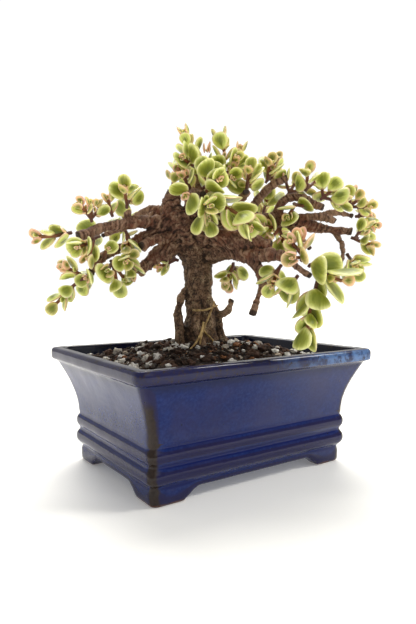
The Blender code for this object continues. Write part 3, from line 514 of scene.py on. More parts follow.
def colour_walls(glaze, height, bloom):
    """Bloom and clouds all over, deep blue where the glaze pools, and a band of painted shade under the rim.
    """
    body = glaze.mix(bloom, DEEP_BLUE, BLOOM_BLUE)
    body = glaze.mix(glaze.steps(glaze.noise(24, 3), 0.35, 0.7, 0.0, 0.45), body, CLOUD_VIOLET)
    body = glaze.mix(glaze.steps(glaze.marked("hollow"), 0.08, 0.42), body, POOL_BLUE)
    # painted shade: a dark band on the wall just under the rim
    under_rim_shade = glaze.steps(height, RIM_BAND - 8 * MM, RIM_BAND - 1 * MM, 0.0, 0.85)
    return glaze.mix(under_rim_shade, body, SHADE_BLUE)


def colour_rim(glaze, body, along, height, on_rim):
    """The rim, thin and violet on its crest, with a painted highlight towards +X, and painted shade on the
    wall inside it.
    """
    outer = glaze.marked("outer")
    body = glaze.mix(on_rim, body, glaze.mix(outer, RIM_BLACK, RIM_BLUE))
    crest = glaze.steps(glaze.marked("hollow"), -0.35, -0.12, 0.8, 0.0)
    body = glaze.mix(crest, body, CREST_VIOLET)
    # painted highlight: a paler blue reflection on the outer face of the rim, towards +X
    highlight_blotches = glaze.steps(glaze.noise(7, 4), 0.38, 0.60, 0.15, 1.0)
    painted_highlight = glaze.times(on_rim, outer, glaze.steps(along, *HIGHLIGHT_END), highlight_blotches)
    body = glaze.mix(painted_highlight, body, RIM_HIGHLIGHT_BLUE)
    # painted shade: the wall inside the rim, and the rim's top, are darkened to near black
    inside = glaze.times(glaze.steps(outer, 0.0, 0.2, 1.0, 0.0), glaze.steps(height, *INNER_SHADE_HEIGHTS))
    return glaze.mix(inside, body, INNER_SHADE_BLUE)


def bare_clay(glaze, body, height, on_rim):
    """Brown clay in runs along the rim's edges and in a ragged band down each corner."""
    run = glaze.steps(glaze.noise(2.2, 5), 0.50, 0.70)
    edge = glaze.times(glaze.steps(glaze.marked("hollow"), -0.60, -0.25, 1.0, 0.0), run, on_rim)
    corner = glaze.plus(glaze.marked("corner"), glaze.times(glaze.noise(4.0, 4), 3.6))
    corner = glaze.steps(corner, *CORNER_WIDTH, 1.0, 0.0)
    corner = glaze.times(corner, glaze.steps(height, *BARE_CORNER, 1.0, 0.0))
    clay = glaze.mix(glaze.noise(2.0, 5), *FIRED_CLAY)
    return glaze.mix(glaze.math("MAXIMUM", edge, corner), body, clay)


def make_glaze():
    glaze = Finish("cobalt_glaze")
    parts = glaze.tree.nodes.new("ShaderNodeSeparateXYZ")
    glaze.put(parts.inputs[0], glaze.place)
    along, height = parts.outputs["X"], parts.outputs["Z"]
    bloom = glaze.steps(glaze.noise(1.6, 6, 0.65), 0.36, 0.72)
    on_rim = glaze.steps(height, RIM_BAND - 0.2 * MM, RIM_BAND + 1.0 * MM)
    colour = colour_walls(glaze, height, bloom)
    colour = colour_rim(glaze, colour, along, height, on_rim)
    colour = bare_clay(glaze, colour, height, on_rim)
    foot = glaze.times(glaze.steps(height, *BARE_FOOT, 1.0, 0.0), glaze.steps(glaze.noise(6, 3), 0.35, 0.5))
    colour = glaze.mix(foot, colour, FOOT_CLAY)
    pits = glaze.steps(glaze.cells(7.0), 0.035, 0.06, 1.0, 0.0)
    colour = glaze.mix(pits, colour, PIT_BLACK)
    rough = glaze.plus(glaze.steps(bloom, 0.0, 1.0, 0.06, 0.20), glaze.times(foot, 0.4))
    glaze.set(Base_Color=colour, Roughness=rough, IOR=1.5, Specular_IOR_Level=0.27)
    grain = glaze.plus(glaze.noise(4.0, 4), glaze.times(glaze.noise(0.8, 2), 0.15))
    glaze.bump(glaze.math("SUBTRACT", grain, glaze.times(pits, 0.8)), 0.10, 0.8)
    return glaze.material


finish_piece("glazed_pot", pot_mesh, [make_glaze()], ["pot"])
print("glaze: the rim begins", round(RIM_BAND / MM, 1), "mm up")

# %% [markdown]
# ## The drain meshes
#
# Two squares of black plastic net keep the soil in. A finer net could be woven
# from wires, but only its grid shows, and the frame's nodes have that already.
# So they only get a finish: moulded plastic, dusty with soil.

# %% Finish the drain meshes
NET_BLACK = (0.012, 0.012, 0.013)
NET_DUST = (0.09, 0.065, 0.045)


def make_net_plastic():
    net = Finish("net_plastic")
    dust = net.steps(net.noise(2.5, 5), 0.42, 0.7)
    net.set(Base_Color=net.mix(dust, NET_BLACK, NET_DUST), Roughness=0.5)
    net.bump(net.noise(0.5, 3), 0.05)
    return net.material


net_plastic = make_net_plastic()
for side in ("left", "right"):
    mesh = nodes["drain_mesh_" + side].data
    mesh.materials.clear()
    mesh.materials.append(net_plastic)
print("drain meshes finished")

# %% [markdown]
# ## The wood
#
# The trunk and the limbs grew as one, so they get one skin, which also closes
# the hairline gaps between the frame's solids. Bark rings run round each limb.
# A wave texture could draw them, but its waves are straight, and the limbs are
# not. A walk over the skin from the soil outwards tells how far along the wood
# each point is, and rings are then simply waves of that distance.

# %% Skin the wood
WOOD = ["trunk"] + sorted(name for name in nodes if name.startswith("branch_"))
WOOD_SKIN = 0.62 * MM
WOOD_SMOOTHING = 12
REACH_SMOOTHING = 12
LONGEST_WALK = 2000  # in edges
FOOT_OF_WOOD = 2 * MM


def distances_along(points, edges, start):
    """How far each vertex is from the start vertices over the mesh, by relaxing its edges in turn."""
    reach = np.full(len(points), np.inf)
    reach[start] = 0.0
    lengths = np.linalg.norm(points[edges[:, 0]] - points[edges[:, 1]], axis=1)
    for _ in range(LONGEST_WALK):
        before = reach.copy()
        np.minimum.at(reach, edges[:, 0], before[edges[:, 1]] + lengths)
        np.minimum.at(reach, edges[:, 1], before[edges[:, 0]] + lengths)
        if np.array_equal(before, reach):
            break
    return reach


wood_mesh = skinned(joined_mesh(WOOD), "bark", WOOD_SKIN)
wood_edges = read_edges(wood_mesh)
wood_points = rounded(read_points(wood_mesh), wood_edges, WOOD_SMOOTHING)
write_points(wood_mesh, wood_points)
foot_of_wood = np.where(wood_points[:, 2] < wood_points[:, 2].min() + FOOT_OF_WOOD)[0]
wood_reach = distances_along(wood_points, wood_edges, foot_of_wood)
lost = ~np.isfinite(wood_reach)
wood_reach[lost] = 0.0
wood_reach = averaged(wood_reach, wood_edges, REACH_SMOOTHING)[:, 0]
print("wood:", len(wood_points), "points, reach to", round(wood_reach.max() / MM), "mm,", lost.sum(), "lost")

# %% [markdown]
# The bark itself: rings of old leaf scars on the limbs, fine fissures up the
# trunk, knots where the limbs part. It could be left to a bump texture, but the
# outline of a limb would stay smooth against the light. So heights are added
# along the normals. Where a limb ends in a cut the reach has a peak, and that
# is how the cuts are found.

# %% Raise the bark
RING_PITCH = 2.3 * MM
RING_HEIGHT = 0.5 * MM
RING_WANDER = 0.9 * MM
LUMP_SIZE = 7.5 * MM
LUMP_HEIGHT = 1.4 * MM
FISSURE_SIZE = 1.6 * MM
FISSURE_HEIGHT = 0.45 * MM
FISSURE_STRETCH = np.array((1, 1, 0.28))
KNOT_SIZE = 4.8 * MM
KNOT_HEIGHT = 2.4 * MM
GNARLED_REACH = 92 * MM  # along the wood, where the limbs part
GNARLED_SPREAD = 26 * MM
TRUNK_REACH = 86 * MM  # beyond this it is a limb
TRUNK_FADE = 22 * MM
CUT_RADIUS = 2.6 * MM
CUT_WALK = 14  # edges that a cut is further out than
CUT_REACH = 30 * MM
RELIEF_ROUNDS = 25


def cut_ends(points, edges, reach):
    """Points that are further along than all others within a few millimetres of them."""
    best = reach.copy()
    for _ in range(CUT_WALK):
        before = best.copy()
        np.maximum.at(best, edges[:, 0], before[edges[:, 1]])
        np.maximum.at(best, edges[:, 1], before[edges[:, 0]])
    return points[(best <= reach) & (reach > CUT_REACH)]


def bark_height(points, rings, fissures, reach, trunk_share):
    """How far the bark stands out at each point: rings on limbs, lumps, knots, and fissures on the trunk."""
    broad = rough_noise(points, LUMP_SIZE, 3, 3)
    knots = np.clip(rough_noise(points, KNOT_SIZE, 6, 3), 0, 1)
    gnarled = np.exp(-(((reach - GNARLED_REACH) / GNARLED_SPREAD) ** 2))
    height = rings * RING_HEIGHT * (1 - 0.65 * trunk_share)
    height += broad * LUMP_HEIGHT * (0.55 + 0.45 * trunk_share)
    height += knots * KNOT_HEIGHT * gnarled
    height -= fissures * FISSURE_HEIGHT * (0.35 + 0.65 * trunk_share)
    return height


def raise_bark():
    points, reach = wood_points, wood_reach
    normals = averaged(read_normals(wood_mesh), wood_edges, 2)
    normals /= np.linalg.norm(normals, axis=1)[:, None]
    wander = rough_noise(points, 6 * MM, 2, 2) * RING_WANDER
    rings = np.array([noise.noise(Vector((0, 0, r))) for r in (reach + wander) / RING_PITCH * 1.6])
    fissures = np.abs(rough_noise(points * FISSURE_STRETCH, FISSURE_SIZE, 4, 3))
    trunk_share = np.clip((TRUNK_REACH - reach) / TRUNK_FADE, 0, 1)
    height = bark_height(points, rings, fissures, reach, trunk_share)
    ends = cut_ends(points, wood_edges, reach)
    cut = np.zeros(len(points))
    for end in ends:
        apart = np.linalg.norm(points - end, axis=1)
        cut = np.maximum(cut, np.exp(-((apart / CUT_RADIUS) ** 4)))
    raised = points + normals * height[:, None]
    write_points(wood_mesh, raised)
    hollow = ((averaged(raised, wood_edges, RELIEF_ROUNDS) - raised) * read_normals(wood_mesh)).sum(1) / MM
    marks = {"hollow": hollow, "ring": rings, "trunk": trunk_share, "fissure": fissures, "cut": cut}
    for name, values in marks.items():
        mark(wood_mesh, name, values)
    print("bark:", len(ends), "cut ends")


raise_bark()

# %% [markdown]
# Young bark on the limbs is red-brown, old bark on the trunk is greyer, with
# patches of pale lichen. A single brown with noise would hide all the relief
# that was just raised, so the marks paint light and shade into the colour:
# painted shade in the hollows and the cracks, a painted highlight on the
# ridges, and black on the cuts.

# %% Make the bark finish
LIMB_BROWNS = ((0.030, 0.012, 0.008), (0.155, 0.066, 0.040))  # between the rings and on them
LIMB_DUST = (0.270, 0.145, 0.095)
LIMB_RED = (0.185, 0.055, 0.026)
TRUNK_BROWNS = ((0.022, 0.011, 0.007), (0.230, 0.135, 0.078))
LICHEN = (0.44, 0.33, 0.20)
RIDGE_HIGHLIGHT = (0.420, 0.270, 0.175)
HOLLOW_SHADE = (0.016, 0.008, 0.005)
CRACK_SHADE = (0.014, 0.008, 0.006)
CUT_END = (0.012, 0.008, 0.008)


def make_bark():
    bark = Finish("bark")
    fine = bark.noise(1.1, 6, 0.7)
    limb = bark.mix(bark.steps(bark.marked("ring"), -0.35, 0.35), *LIMB_BROWNS)
    limb = bark.mix(bark.steps(fine, 0.35, 0.7, 0.0, 0.7), limb, LIMB_DUST)
    limb = bark.mix(bark.steps(bark.noise(11, 2), 0.48, 0.66, 0.0, 0.5), limb, LIMB_RED)
    old = bark.mix(bark.steps(fine, 0.36, 0.66), *TRUNK_BROWNS)
    patches = bark.steps(bark.noise(7, 4), 0.50, 0.66)
    old = bark.mix(bark.times(patches, bark.steps(bark.noise(0.9, 3), 0.44, 0.6)), old, LICHEN)
    colour = bark.mix(bark.marked("trunk"), limb, old)
    relief = bark.marked("hollow")
    # painted highlight on the ridges, painted shade in the hollows and the cracks
    colour = bark.mix(bark.steps(relief, -0.10, -0.55, 0.0, 0.55), colour, RIDGE_HIGHLIGHT)
    colour = bark.mix(bark.steps(relief, 0.0, 0.45, 0.0, 0.85), colour, HOLLOW_SHADE)
    colour = bark.mix(bark.steps(bark.marked("fissure"), 0.0, 0.16, 0.75, 0.0), colour, CRACK_SHADE)
    colour = bark.mix(bark.steps(bark.marked("cut"), 0.3, 0.7, 0.0, 0.85), colour, CUT_END)
    bark.set(Base_Color=colour, Roughness=bark.steps(fine, 0.3, 0.7, 0.62, 0.9), Specular_IOR_Level=0.3)
    bark.bump(bark.plus(fine, bark.times(bark.noise(0.45, 3), 0.5)), 0.28)
    return bark.material


finish_piece("bark", wood_mesh, [make_bark()], WOOD)
print("bark finished on", len(WOOD), "nodes")

# %% [markdown]
# A few dead flower stems, dry as straw, lie against the foot of the trunk. A
# curve object with a bevel would make them too, but then all of a stem would be
# equally thick. Here each is a thin tube of its own rings, along a short route
# that is measured in millimetres from the middle of the pot.

# %% Lay the dead stems
DEAD_STEMS = [
    [(6.8, 4.0, 95.7), (0.4, -0.6, 88.6), (-4.5, -2.6, 82), (-9, -5.4, 76), (-11, -6.8, 71.5),
     (-12, -7.6, 68)],
    [(-8.4, 4, 91), (-9, -1.4, 91.2), (-3.3, 0.0, 91.1), (0, -0.4, 91.8), (4.3, 1.2, 92.7), (9.5, 4.2, 93.6)],
    [(-4.7, -1.2, 79.2), (-2.8, -2.0, 76.7), (0.6, -2.6, 73.5), (2, -4, 70)],
    [(-6, -3.2, 84), (-10, -6.5, 78), (-16, -9, 72), (-20, -10, 69.5)],
]
STEM_RADIUS = 0.75 * MM
STEM_STEPS = 10
STEM_SIDES = 8
STRAW_BROWNS = ((0.26, 0.15, 0.05), (0.66, 0.46, 0.19))


def smooth_curve(spots):
    """Points along a smooth curve through the spots."""
    curve = []
    for k in range(len(spots) - 1):
        a, b, c, d = spots[max(k - 1, 0)], spots[k], spots[k + 1], spots[min(k + 2, len(spots) - 1)]
        for step in range(STEM_STEPS):
            t = step / STEM_STEPS
            curve.append(0.5 * (2 * b + (c - a) * t + (2 * a - 5 * b + 4 * c - d) * t**2
                                + (3 * b - a - 3 * c + d) * t**3))
    curve.append(spots[-1])
    return curve


def lay_stem(route, points, faces):
    """Adds a tube along the route, thinner at its end."""
    curve = smooth_curve([Vector((pot_middle.x, pot_middle.y, 0)) + Vector(spot) * MM for spot in route])
    first = len(points)
    for k, spot in enumerate(curve):
        ahead = (curve[min(k + 1, len(curve) - 1)] - curve[max(k - 1, 0)]).normalized()
        side = ahead.orthogonal().normalized()
        up = ahead.cross(side)
        radius = STEM_RADIUS * (1 - 0.35 * k / len(curve)) * (1 + 0.25 * noise.noise(spot * 600))
        for j in range(STEM_SIDES):
            turn = 2 * math.pi * j / STEM_SIDES
            points.append(spot + radius * (math.cos(turn) * side + math.sin(turn) * up))
    for k in range(len(curve) - 1):
        for j in range(STEM_SIDES):
            here, after = first + k * STEM_SIDES + j, first + k * STEM_SIDES + (j + 1) % STEM_SIDES
            faces.append((here, after, after + STEM_SIDES, here + STEM_SIDES))
    faces.append(tuple(range(first, first + STEM_SIDES))[::-1])
    faces.append(tuple(range(len(points) - STEM_SIDES, len(points))))


def make_straw():
    straw = Finish("straw")
    colour = straw.mix(straw.steps(straw.noise(3, 4), 0.35, 0.65), *STRAW_BROWNS)
    straw.set(Base_Color=colour, Roughness=0.7)
    straw.bump(straw.noise(0.6, 4), 0.15)
    return straw.material


stem_points, stem_faces = [], []
for route in DEAD_STEMS:
    lay_stem(route, stem_points, stem_faces)
stem_mesh = bpy.data.meshes.new("dead_stems")
stem_mesh.from_pydata(stem_points, [], stem_faces)
finish_piece("dead_stems", stem_mesh, [make_straw()])
print("dead stems:", len(DEAD_STEMS))

# %% [markdown]
# ## The leaves
#
# Each leaf is thick and almost round, with a short wedge of a foot. The centre
# is green and the margin cream, and young leaves are pink. A squashed ball
# would be quicker, but its colours couldn't follow the outline. So one template
# leaf is worked out as rings of points, along with how far each point is from
# the outline, and every leaf on the tree is a bent copy of it.

# %% Draw one leaf
LEAF_STATIONS = 13
LEAF_AROUND = 16
LEAF_WIDEST = 0.6  # along its length
LEAF_FOOT = 0.13  # of the widest
LEAF_TIP = 0.996  # where the last ring is
OUTLINE_POINTS = 61
LONGER = 2.2  # a leaf's length, in half widths


def leaf_half_width(along):
    """Half the leaf's width at that share of its length, as a share of the widest."""
    if along > LEAF_WIDEST:
        beyond = (along - LEAF_WIDEST) / (1 - LEAF_WIDEST)
        return math.sqrt(max(0.0, 1 - beyond**2.3))
    before = (LEAF_WIDEST - along) / LEAF_WIDEST
    return LEAF_FOOT + (1 - LEAF_FOOT) * math.cos(math.pi / 2 * before**1.35)


def leaf_thickness(along):
    """Half the leaf's thickness there, as a share of the thickest."""
    rounding = math.sqrt(max(0.0, 1 - max(0.0, (along - 0.5) / 0.5) ** 2.6))
    return (0.55 + 0.45 * math.sin(math.pi * min(1.0, along * 1.1))) * rounding


def inward_of(points):
    """How far each point is from the outline, in half widths."""
    line = [0.02 + 0.98 * k / (OUTLINE_POINTS - 1) for k in range(OUTLINE_POINTS)]
    outline = np.array([(side * leaf_half_width(a), LONGER * a) for a in line for side in (-1, 1)])
    spread = points[:, None, :2] * np.array((1, LONGER)) - outline[None]
    return np.linalg.norm(spread, axis=2).min(1)


def draw_leaf():
    """Points as (across, along, up) shares, and the quads between them."""
    points, faces = [], []
    for k in range(LEAF_STATIONS):
        along = 0.5 - 0.5 * math.cos(math.pi * k / (LEAF_STATIONS - 1))
        along = min(along, LEAF_TIP)
        wide, thick = leaf_half_width(along), leaf_thickness(along)
        for j in range(LEAF_AROUND):
            turn = 2 * math.pi * j / LEAF_AROUND
            points.append((wide * math.cos(turn), along, thick * math.sin(turn)))
    for k in range(LEAF_STATIONS - 1):
        for j in range(LEAF_AROUND):
            first, second = k * LEAF_AROUND + j, k * LEAF_AROUND + (j + 1) % LEAF_AROUND
            faces.append((first, second, second + LEAF_AROUND, first + LEAF_AROUND))
    faces.append(tuple(range(LEAF_AROUND))[::-1])
    last = (LEAF_STATIONS - 1) * LEAF_AROUND
    faces.append(tuple(range(last, last + LEAF_AROUND)))
    return np.array(points), faces


leaf_points, leaf_faces = draw_leaf()
leaf_inward = inward_of(leaf_points)
print("leaf:", len(leaf_points), "points, inward to", leaf_inward.max().round(2))

# %% [markdown]
# ## Finding where the leaves go
#
# In the frame each leaf is a plain wedge: a flat top on a thick underside, and
# both end together in one sharp edge, the tip. The leaves' places could be
# listed by hand, but then they would stay behind when the frame changes. So
# they are read. Nothing else on a shoot is as sharp as a tip. From a tip edge,
# the two corners where the flat top is widest are the neighbours that lie as
# far apart as the wedge's proportions say, and they tell where the leaf sits,
# how long and wide it is, and which way it faces.

# %% Read the leaves from a shoot
TIP_SHARE = 0.52  # the tip edge's width, of the widest
WIDEST_SHARE = 0.58  # where the wedge is widest, from its foot
TIP_SHARPNESS = math.radians(128)
FIT = 0.06  # how far from those proportions a wedge may be
LEAST_LEAF = 3 * MM
FLAT = math.radians(2)


def flat_faces(mesh):
    """The mesh with its triangles joined into the flat faces that they were cut from."""
    bm = bmesh.new()
    bm.from_mesh(mesh)
    bmesh.ops.remove_doubles(bm, verts=bm.verts, dist=MERGE / 2)
    bmesh.ops.dissolve_limit(bm, angle_limit=FLAT, verts=bm.verts, edges=bm.edges)
    return bm


def widest_corners(edge):
    """The two corners where the flat top above a tip edge is widest, and how badly they fit."""
    a, b = edge.verts
    best = (1.0, None, None)
    for left in {e.other_vert(a) for e in a.link_edges} - {b}:
        for right in {e.other_vert(b) for e in b.link_edges} - {a, left}:
            across = left.co - right.co
            sides = (left.co - a.co).length, (right.co - b.co).length
            misfit = abs(edge.calc_length() / across.length - TIP_SHARE)
            misfit += abs(sides[0] - sides[1]) / sum(sides)
            misfit += 1 - abs(across.normalized().dot((a.co - b.co).normalized()))
            if misfit < best[0]:
                best = (misfit, left, right)
    return best


def read_wedge(edge):
    """The leaf whose tip is that edge, or nothing."""
    if len(edge.link_faces) != 2 or edge.calc_face_angle(0) < TIP_SHARPNESS:
        return None
    misfit, left, right = widest_corners(edge)
    if misfit > FIT:
        return None
    tip = (edge.verts[0].co + edge.verts[1].co) / 2
    widest = (left.co + right.co) / 2
    length = (tip - widest).length / (1 - WIDEST_SHARE)
    width = (left.co - right.co).length
    if length < LEAST_LEAF or not 0.5 < width / length < 1.5:
        return None
    axis = (tip - widest).normalized()
    foot = tip - axis * length
    top = {*edge.verts, left, right}
    near = {e.other_vert(v) for v in top for e in v.link_edges} - top
    below = {v for v in near if (v.co - foot).dot(axis) > 0.3 * length}
    up = (left.co - right.co).cross(axis).normalized()
    if sum((v.co - widest).dot(up) for v in below) > 0:
        up = -up
    return {"foot": foot, "tip": tip, "axis": axis, "up": up,
            "length": length, "width": width, "wedge": top | below}


def read_leaves(bm):
    """The leaves of a shoot. The mesh keeps only its twig: the wedges are taken off and the holes closed."""
    leaves = [leaf for leaf in (read_wedge(edge) for edge in bm.edges) if leaf]
    wedges = set()
    for leaf in leaves:
        wedges |= leaf.pop("wedge")
    bmesh.ops.delete(bm, geom=list(wedges), context="VERTS")
    bmesh.ops.holes_fill(bm, edges=[e for e in bm.edges if e.is_boundary], sides=0)
    bmesh.ops.triangulate(bm, faces=bm.faces)
    bmesh.ops.recalc_face_normals(bm, faces=bm.faces)
    return leaves


SHOOTS = sorted(name for name in nodes if name.startswith("shoot_"))
found = {}
for name in SHOOTS:
    bm = flat_faces(nodes[name].data)
    leaves = read_leaves(bm)
    twig = bpy.data.meshes.new(name + "_twig")
    bm.to_mesh(twig)
    bm.free()
    found[name] = (leaves, twig)
print("leaves found:", sum(len(leaves) for leaves, _ in found.values()), "on", len(found), "shoots")

# %% [markdown]
# A shoot could be a hundred small objects, one for each leaf, but it is one
# piece on the real plant. So its points are gathered first and made into one
# mesh at the end, with the marks that the finishes read.

# %% Gather a shoot's mesh
class ShootMesh:
    """Gathers the points, faces and marks of one shoot."""

    def __init__(self):
        self.points, self.faces, self.material = [], [], []
        self.marks = {"inward": [], "across": [], "along": [], "tone": [], "young": []}
        self.count = 0

    def add(self, points, faces, material, **marks):
        self.points.append(points)
        self.faces += [tuple(v + self.count for v in face) for face in faces]
        self.material += [material] * len(faces)
        for name, values in self.marks.items():
            values.append(np.broadcast_to(np.asarray(marks.get(name, 0.0), float), (len(points),)))
        self.count += len(points)

    def mesh(self, name):
        mesh = bpy.data.meshes.new(name)
        mesh.from_pydata(np.concatenate(self.points).tolist(), [], self.faces)
        mesh.polygons.foreach_set("material_index", self.material)
        for mark_name, values in self.marks.items():
            mark(mesh, mark_name, np.concatenate(values))
        return mesh


# %% [markdown]
# A leaf is bent, cupped and rolled by chance amounts of its own, so that no two
# are alike. At a shoot's free ends there is a little rosette of new leaves,
# which are the pinkest, and in the angles of many pairs there are two small
# ones. They are too thin to be in the frame.

# %% Place the leaves
BEND = (-0.10, 0.16)
CUP = (-0.02, 0.12)
ROLL = (-0.5, 0.5)
SAME_BLOCK = 2.9 * MM  # feet closer than this are on one block of the twig
ROSETTE_SHARE = 0.42  # its leaves' length, of the last pair's
ROSETTE_LEAST = 3.2 * MM
ROSETTE_ROOM = 9 * MM  # no other leaf starts this close ahead of it
ROSETTE_PAIRS = ((48, 1.0), (66, 0.75))  # how steep, in degrees, and how long
ROSETTE_WIDTH = 0.64
ROSETTE_THICKNESS = 1.3 * MM
BUD_WIDTH = 0.68
BUD_THICKNESS = 1.4 * MM
BUD_ROOM = 1.5 * MM  # from its tip to the wood
wood_tree = BVHTree.FromObject(bpy.data.objects["bark"], bpy.context.evaluated_depsgraph_get())


def add_leaf(shoot, foot, axis, up, length, width, thick, young, chance):
    """One leaf with a bend, a cup and a roll of its own."""
    side = axis.cross(up).normalized()
    up = side.cross(axis).normalized()
    bend = chance.uniform(*BEND)
    cup = chance.uniform(*CUP)
    roll = chance.uniform(*ROLL)
    across, along, high = leaf_points.T
    x = across * width / 2
    y = along * length
    z = high * thick / 2 + bend * length * along**2 + cup * width * across**2
    z = z - bend * length * 0.35 * along
    x, z = x * math.cos(roll) - z * math.sin(roll) * along, z + x * math.sin(roll) * along
    points = np.array(foot) + np.stack([x, y, z], 1) @ np.array([side, axis, up])
    shoot.add(points, leaf_faces, 0, inward=leaf_inward, across=across, along=along,
              tone=chance.random(), young=young)


def leaf_pairs(leaves):
    """Groups leaves whose feet are on the same block of the twig."""
    pairs = []
    for leaf in leaves:
        for pair in pairs:
            if (pair[0]["foot"] - leaf["foot"]).length < SAME_BLOCK:
                pair.append(leaf)
                break
        else:
            pairs.append([leaf])
    return pairs


def middle_of(pair):
    return sum((leaf["foot"] for leaf in pair), Vector()) / len(pair)


def spread_out(out, ahead, side, angle):
    """A new leaf's axis and its upper side, to one side and that steeply ahead."""
    axis = out * side * math.cos(angle) + ahead * math.sin(angle)
    return axis, ahead * math.cos(angle) - out * side * math.sin(angle)


def add_rosette(shoot, pair, everyone, pinkness, chance):
    """New leaves past a last pair, crossed with it, each pair smaller and more upright."""
    middle = middle_of(pair)
    ahead = sum((leaf["axis"] for leaf in pair), Vector()).normalized()
    if len(pair) == 1:
        ahead = (pair[0]["axis"] + pair[0]["up"]).normalized()
    for other in everyone:
        gap = other["foot"] - middle
        if other not in pair and gap.length < ROSETTE_ROOM and gap.normalized().dot(ahead) > 0.45:
            return 0
    first = pair[0]["axis"] - ahead * pair[0]["axis"].dot(ahead)
    across = ahead.cross(first).normalized()
    size = max(ROSETTE_LEAST, ROSETTE_SHARE * pair[0]["length"])
    base = middle + ahead * 0.9 * MM
    for k, (lift, share) in enumerate(ROSETTE_PAIRS):
        out = across if k % 2 == 0 else across.cross(ahead)
        for side in (-1, 1):
            axis, up = spread_out(out, ahead, side, math.radians(lift + chance.uniform(-7, 7)))
            length = size * share * chance.uniform(0.85, 1.15)
            add_leaf(shoot, base + ahead * k * 0.6 * MM, axis, up, length, length * ROSETTE_WIDTH,
                     ROSETTE_THICKNESS, min(1.0, pinkness + 0.2 * k), chance)
    return 2 * len(ROSETTE_PAIRS)


def add_buds(shoot, pair, pinkness, chance):
    """Two small leaves crossed with a pair, from the angles between its leaves and the twig."""
    out = (pair[0]["foot"] - pair[-1]["foot"]).normalized()
    ahead = sum((leaf["axis"] for leaf in pair), Vector())
    ahead = (ahead - out * ahead.dot(out)).normalized()
    across = ahead.cross(out).normalized()
    added = 0
    for side in (-1, 1):
        axis, up = spread_out(across, ahead, side, math.radians(chance.uniform(25, 60)))
        length = pair[0]["length"] * chance.uniform(0.38, 0.58)
        foot = middle_of(pair) + across * side * 0.6 * MM
        if wood_tree.find_nearest(foot + axis * length)[3] > BUD_ROOM:
            add_leaf(shoot, foot, axis, up, length, length * BUD_WIDTH, BUD_THICKNESS, pinkness, chance)
            added += 1
    return added


print("new leaves:", len(ROSETTE_PAIRS), "pairs in a rosette, one pair in an angle")

# %% [markdown]
# Now each shoot is built: its twig, rounded by a fine skin, then its leaves and
# its new leaves. How far each is from the wood tells how young it is, because a
# shoot grows at its end.

# %% Build the shoots
LEAF_THICKNESS = 2.3 * MM
LEAF_FULLER = 1.04  # the rounded leaf fills the wedge that stands for it
LEAF_LONGER = 1.07
BUD_CHANCE = 0.75  # that a pair of leaves has two small ones in its angles
TWIG_SKIN = 0.42 * MM
TWIG_SMOOTHING = 6
PINK_SHOOT = 0.45
FULL_GROWN = 11.0  # a leaf's length in millimetres, from which it isn't young


def youth(leaf, share, blush, chance):
    """How young a leaf is, from 0 to 1: a small one, far out, on a pink shoot is the youngest."""
    small = min(1.0, max(0.0, (FULL_GROWN - leaf["length"] / MM) / 6.0))
    young = 0.75 * small * (0.35 + 0.65 * share) + blush * share + chance.uniform(-0.1, 0.12)
    return max(0.0, min(1.0, young))


def build_shoot(name, chance):
    leaves, twig = found[name]
    shoot = ShootMesh()
    skin = skinned(twig, name + "_skin", TWIG_SKIN)
    points = rounded(read_points(skin), read_edges(skin), TWIG_SMOOTHING)
    from_wood = np.array([wood_tree.find_nearest(Vector(p))[3] for p in points])
    faces = [tuple(face.vertices) for face in skin.polygons]
    reach = max(from_wood.max(), 10 * MM)
    shoot.add(points, faces, 1, along=from_wood / reach, tone=chance.random())
    blush = PINK_SHOOT if "pink" in name else 0.0
    for leaf in leaves:
        share = min(1.0, wood_tree.find_nearest(leaf["foot"])[3] / reach)
        young = youth(leaf, share, blush, chance)
        foot = leaf["foot"] - leaf["up"] * 0.75 * MM - leaf["axis"] * 0.4 * MM
        axis = (leaf["tip"] - leaf["up"] * 0.3 * MM - foot).normalized()
        thick = LEAF_THICKNESS * min(1.0, leaf["length"] / (9 * MM))
        add_leaf(shoot, foot, axis, leaf["up"], leaf["length"] * LEAF_LONGER,
                 leaf["width"] * LEAF_FULLER, thick, young, chance)
    added = 0
    for pair in leaf_pairs(leaves):
        pinkness = 0.5 + blush + chance.uniform(-0.3, 0.4)
        rosette = add_rosette(shoot, pair, leaves, pinkness, chance)
        added += rosette
        if not rosette and len(pair) > 1 and chance.random() < BUD_CHANCE:
            added += add_buds(shoot, pair, pinkness * 0.8, chance)
    return shoot.mesh(name + "_leaves"), added


shoot_meshes = {}
new_leaves = 0
chance = random.Random(7)
for name in SHOOTS:
    shoot_meshes[name], added = build_shoot(name, chance)
    new_leaves += added
print("shoots:", len(shoot_meshes), "with", new_leaves, "new leaves")

# %% [markdown]
# The leaf finish mixes greens, cream and pink by the distance from the outline.
# A colour ramp would give smooth bands, but on this plant the border is ragged,
# so streaks that run along the leaf shift it. A little light passes through the
# flesh. The stems are dark red-brown near the wood and redder, then tan,
# towards their ends.

# %% Make the leaf and stem finishes
LEAF_GREENS = ((0.115, 0.165, 0.014), (0.245, 0.285, 0.032))
PALE_GREEN = (0.350, 0.375, 0.050)
CREAMS = ((0.93, 0.91, 0.46), (0.66, 0.72, 0.17))  # at the outline and inwards
PINK = (0.95, 0.45, 0.42)
EDGE_RED = (0.62, 0.22, 0.16)
SPOT_BROWN = (0.20, 0.11, 0.03)
FOOT_BROWN = (0.36, 0.15, 0.06)
STEM_BROWNS = ((0.090, 0.030, 0.018), (0.25, 0.085, 0.035))
STEM_TAN = (0.36, 0.20, 0.06)
STEM_SCARS = (0.16, 0.05, 0.03)
STREAKS_LONG = 0.45  # lower draws them out further along the leaf


def place_on_leaf(leaf):
    """A place in the leaf's own width and length, with a third number that sets leaves apart."""
    spot = leaf.tree.nodes.new("ShaderNodeCombineXYZ")
    leaf.put(spot.inputs[0], leaf.marked("across"))
    leaf.put(spot.inputs[1], leaf.times(leaf.marked("along"), STREAKS_LONG))
    leaf.put(spot.inputs[2], leaf.times(leaf.marked("tone"), 40.0))
    return spot.outputs[0]


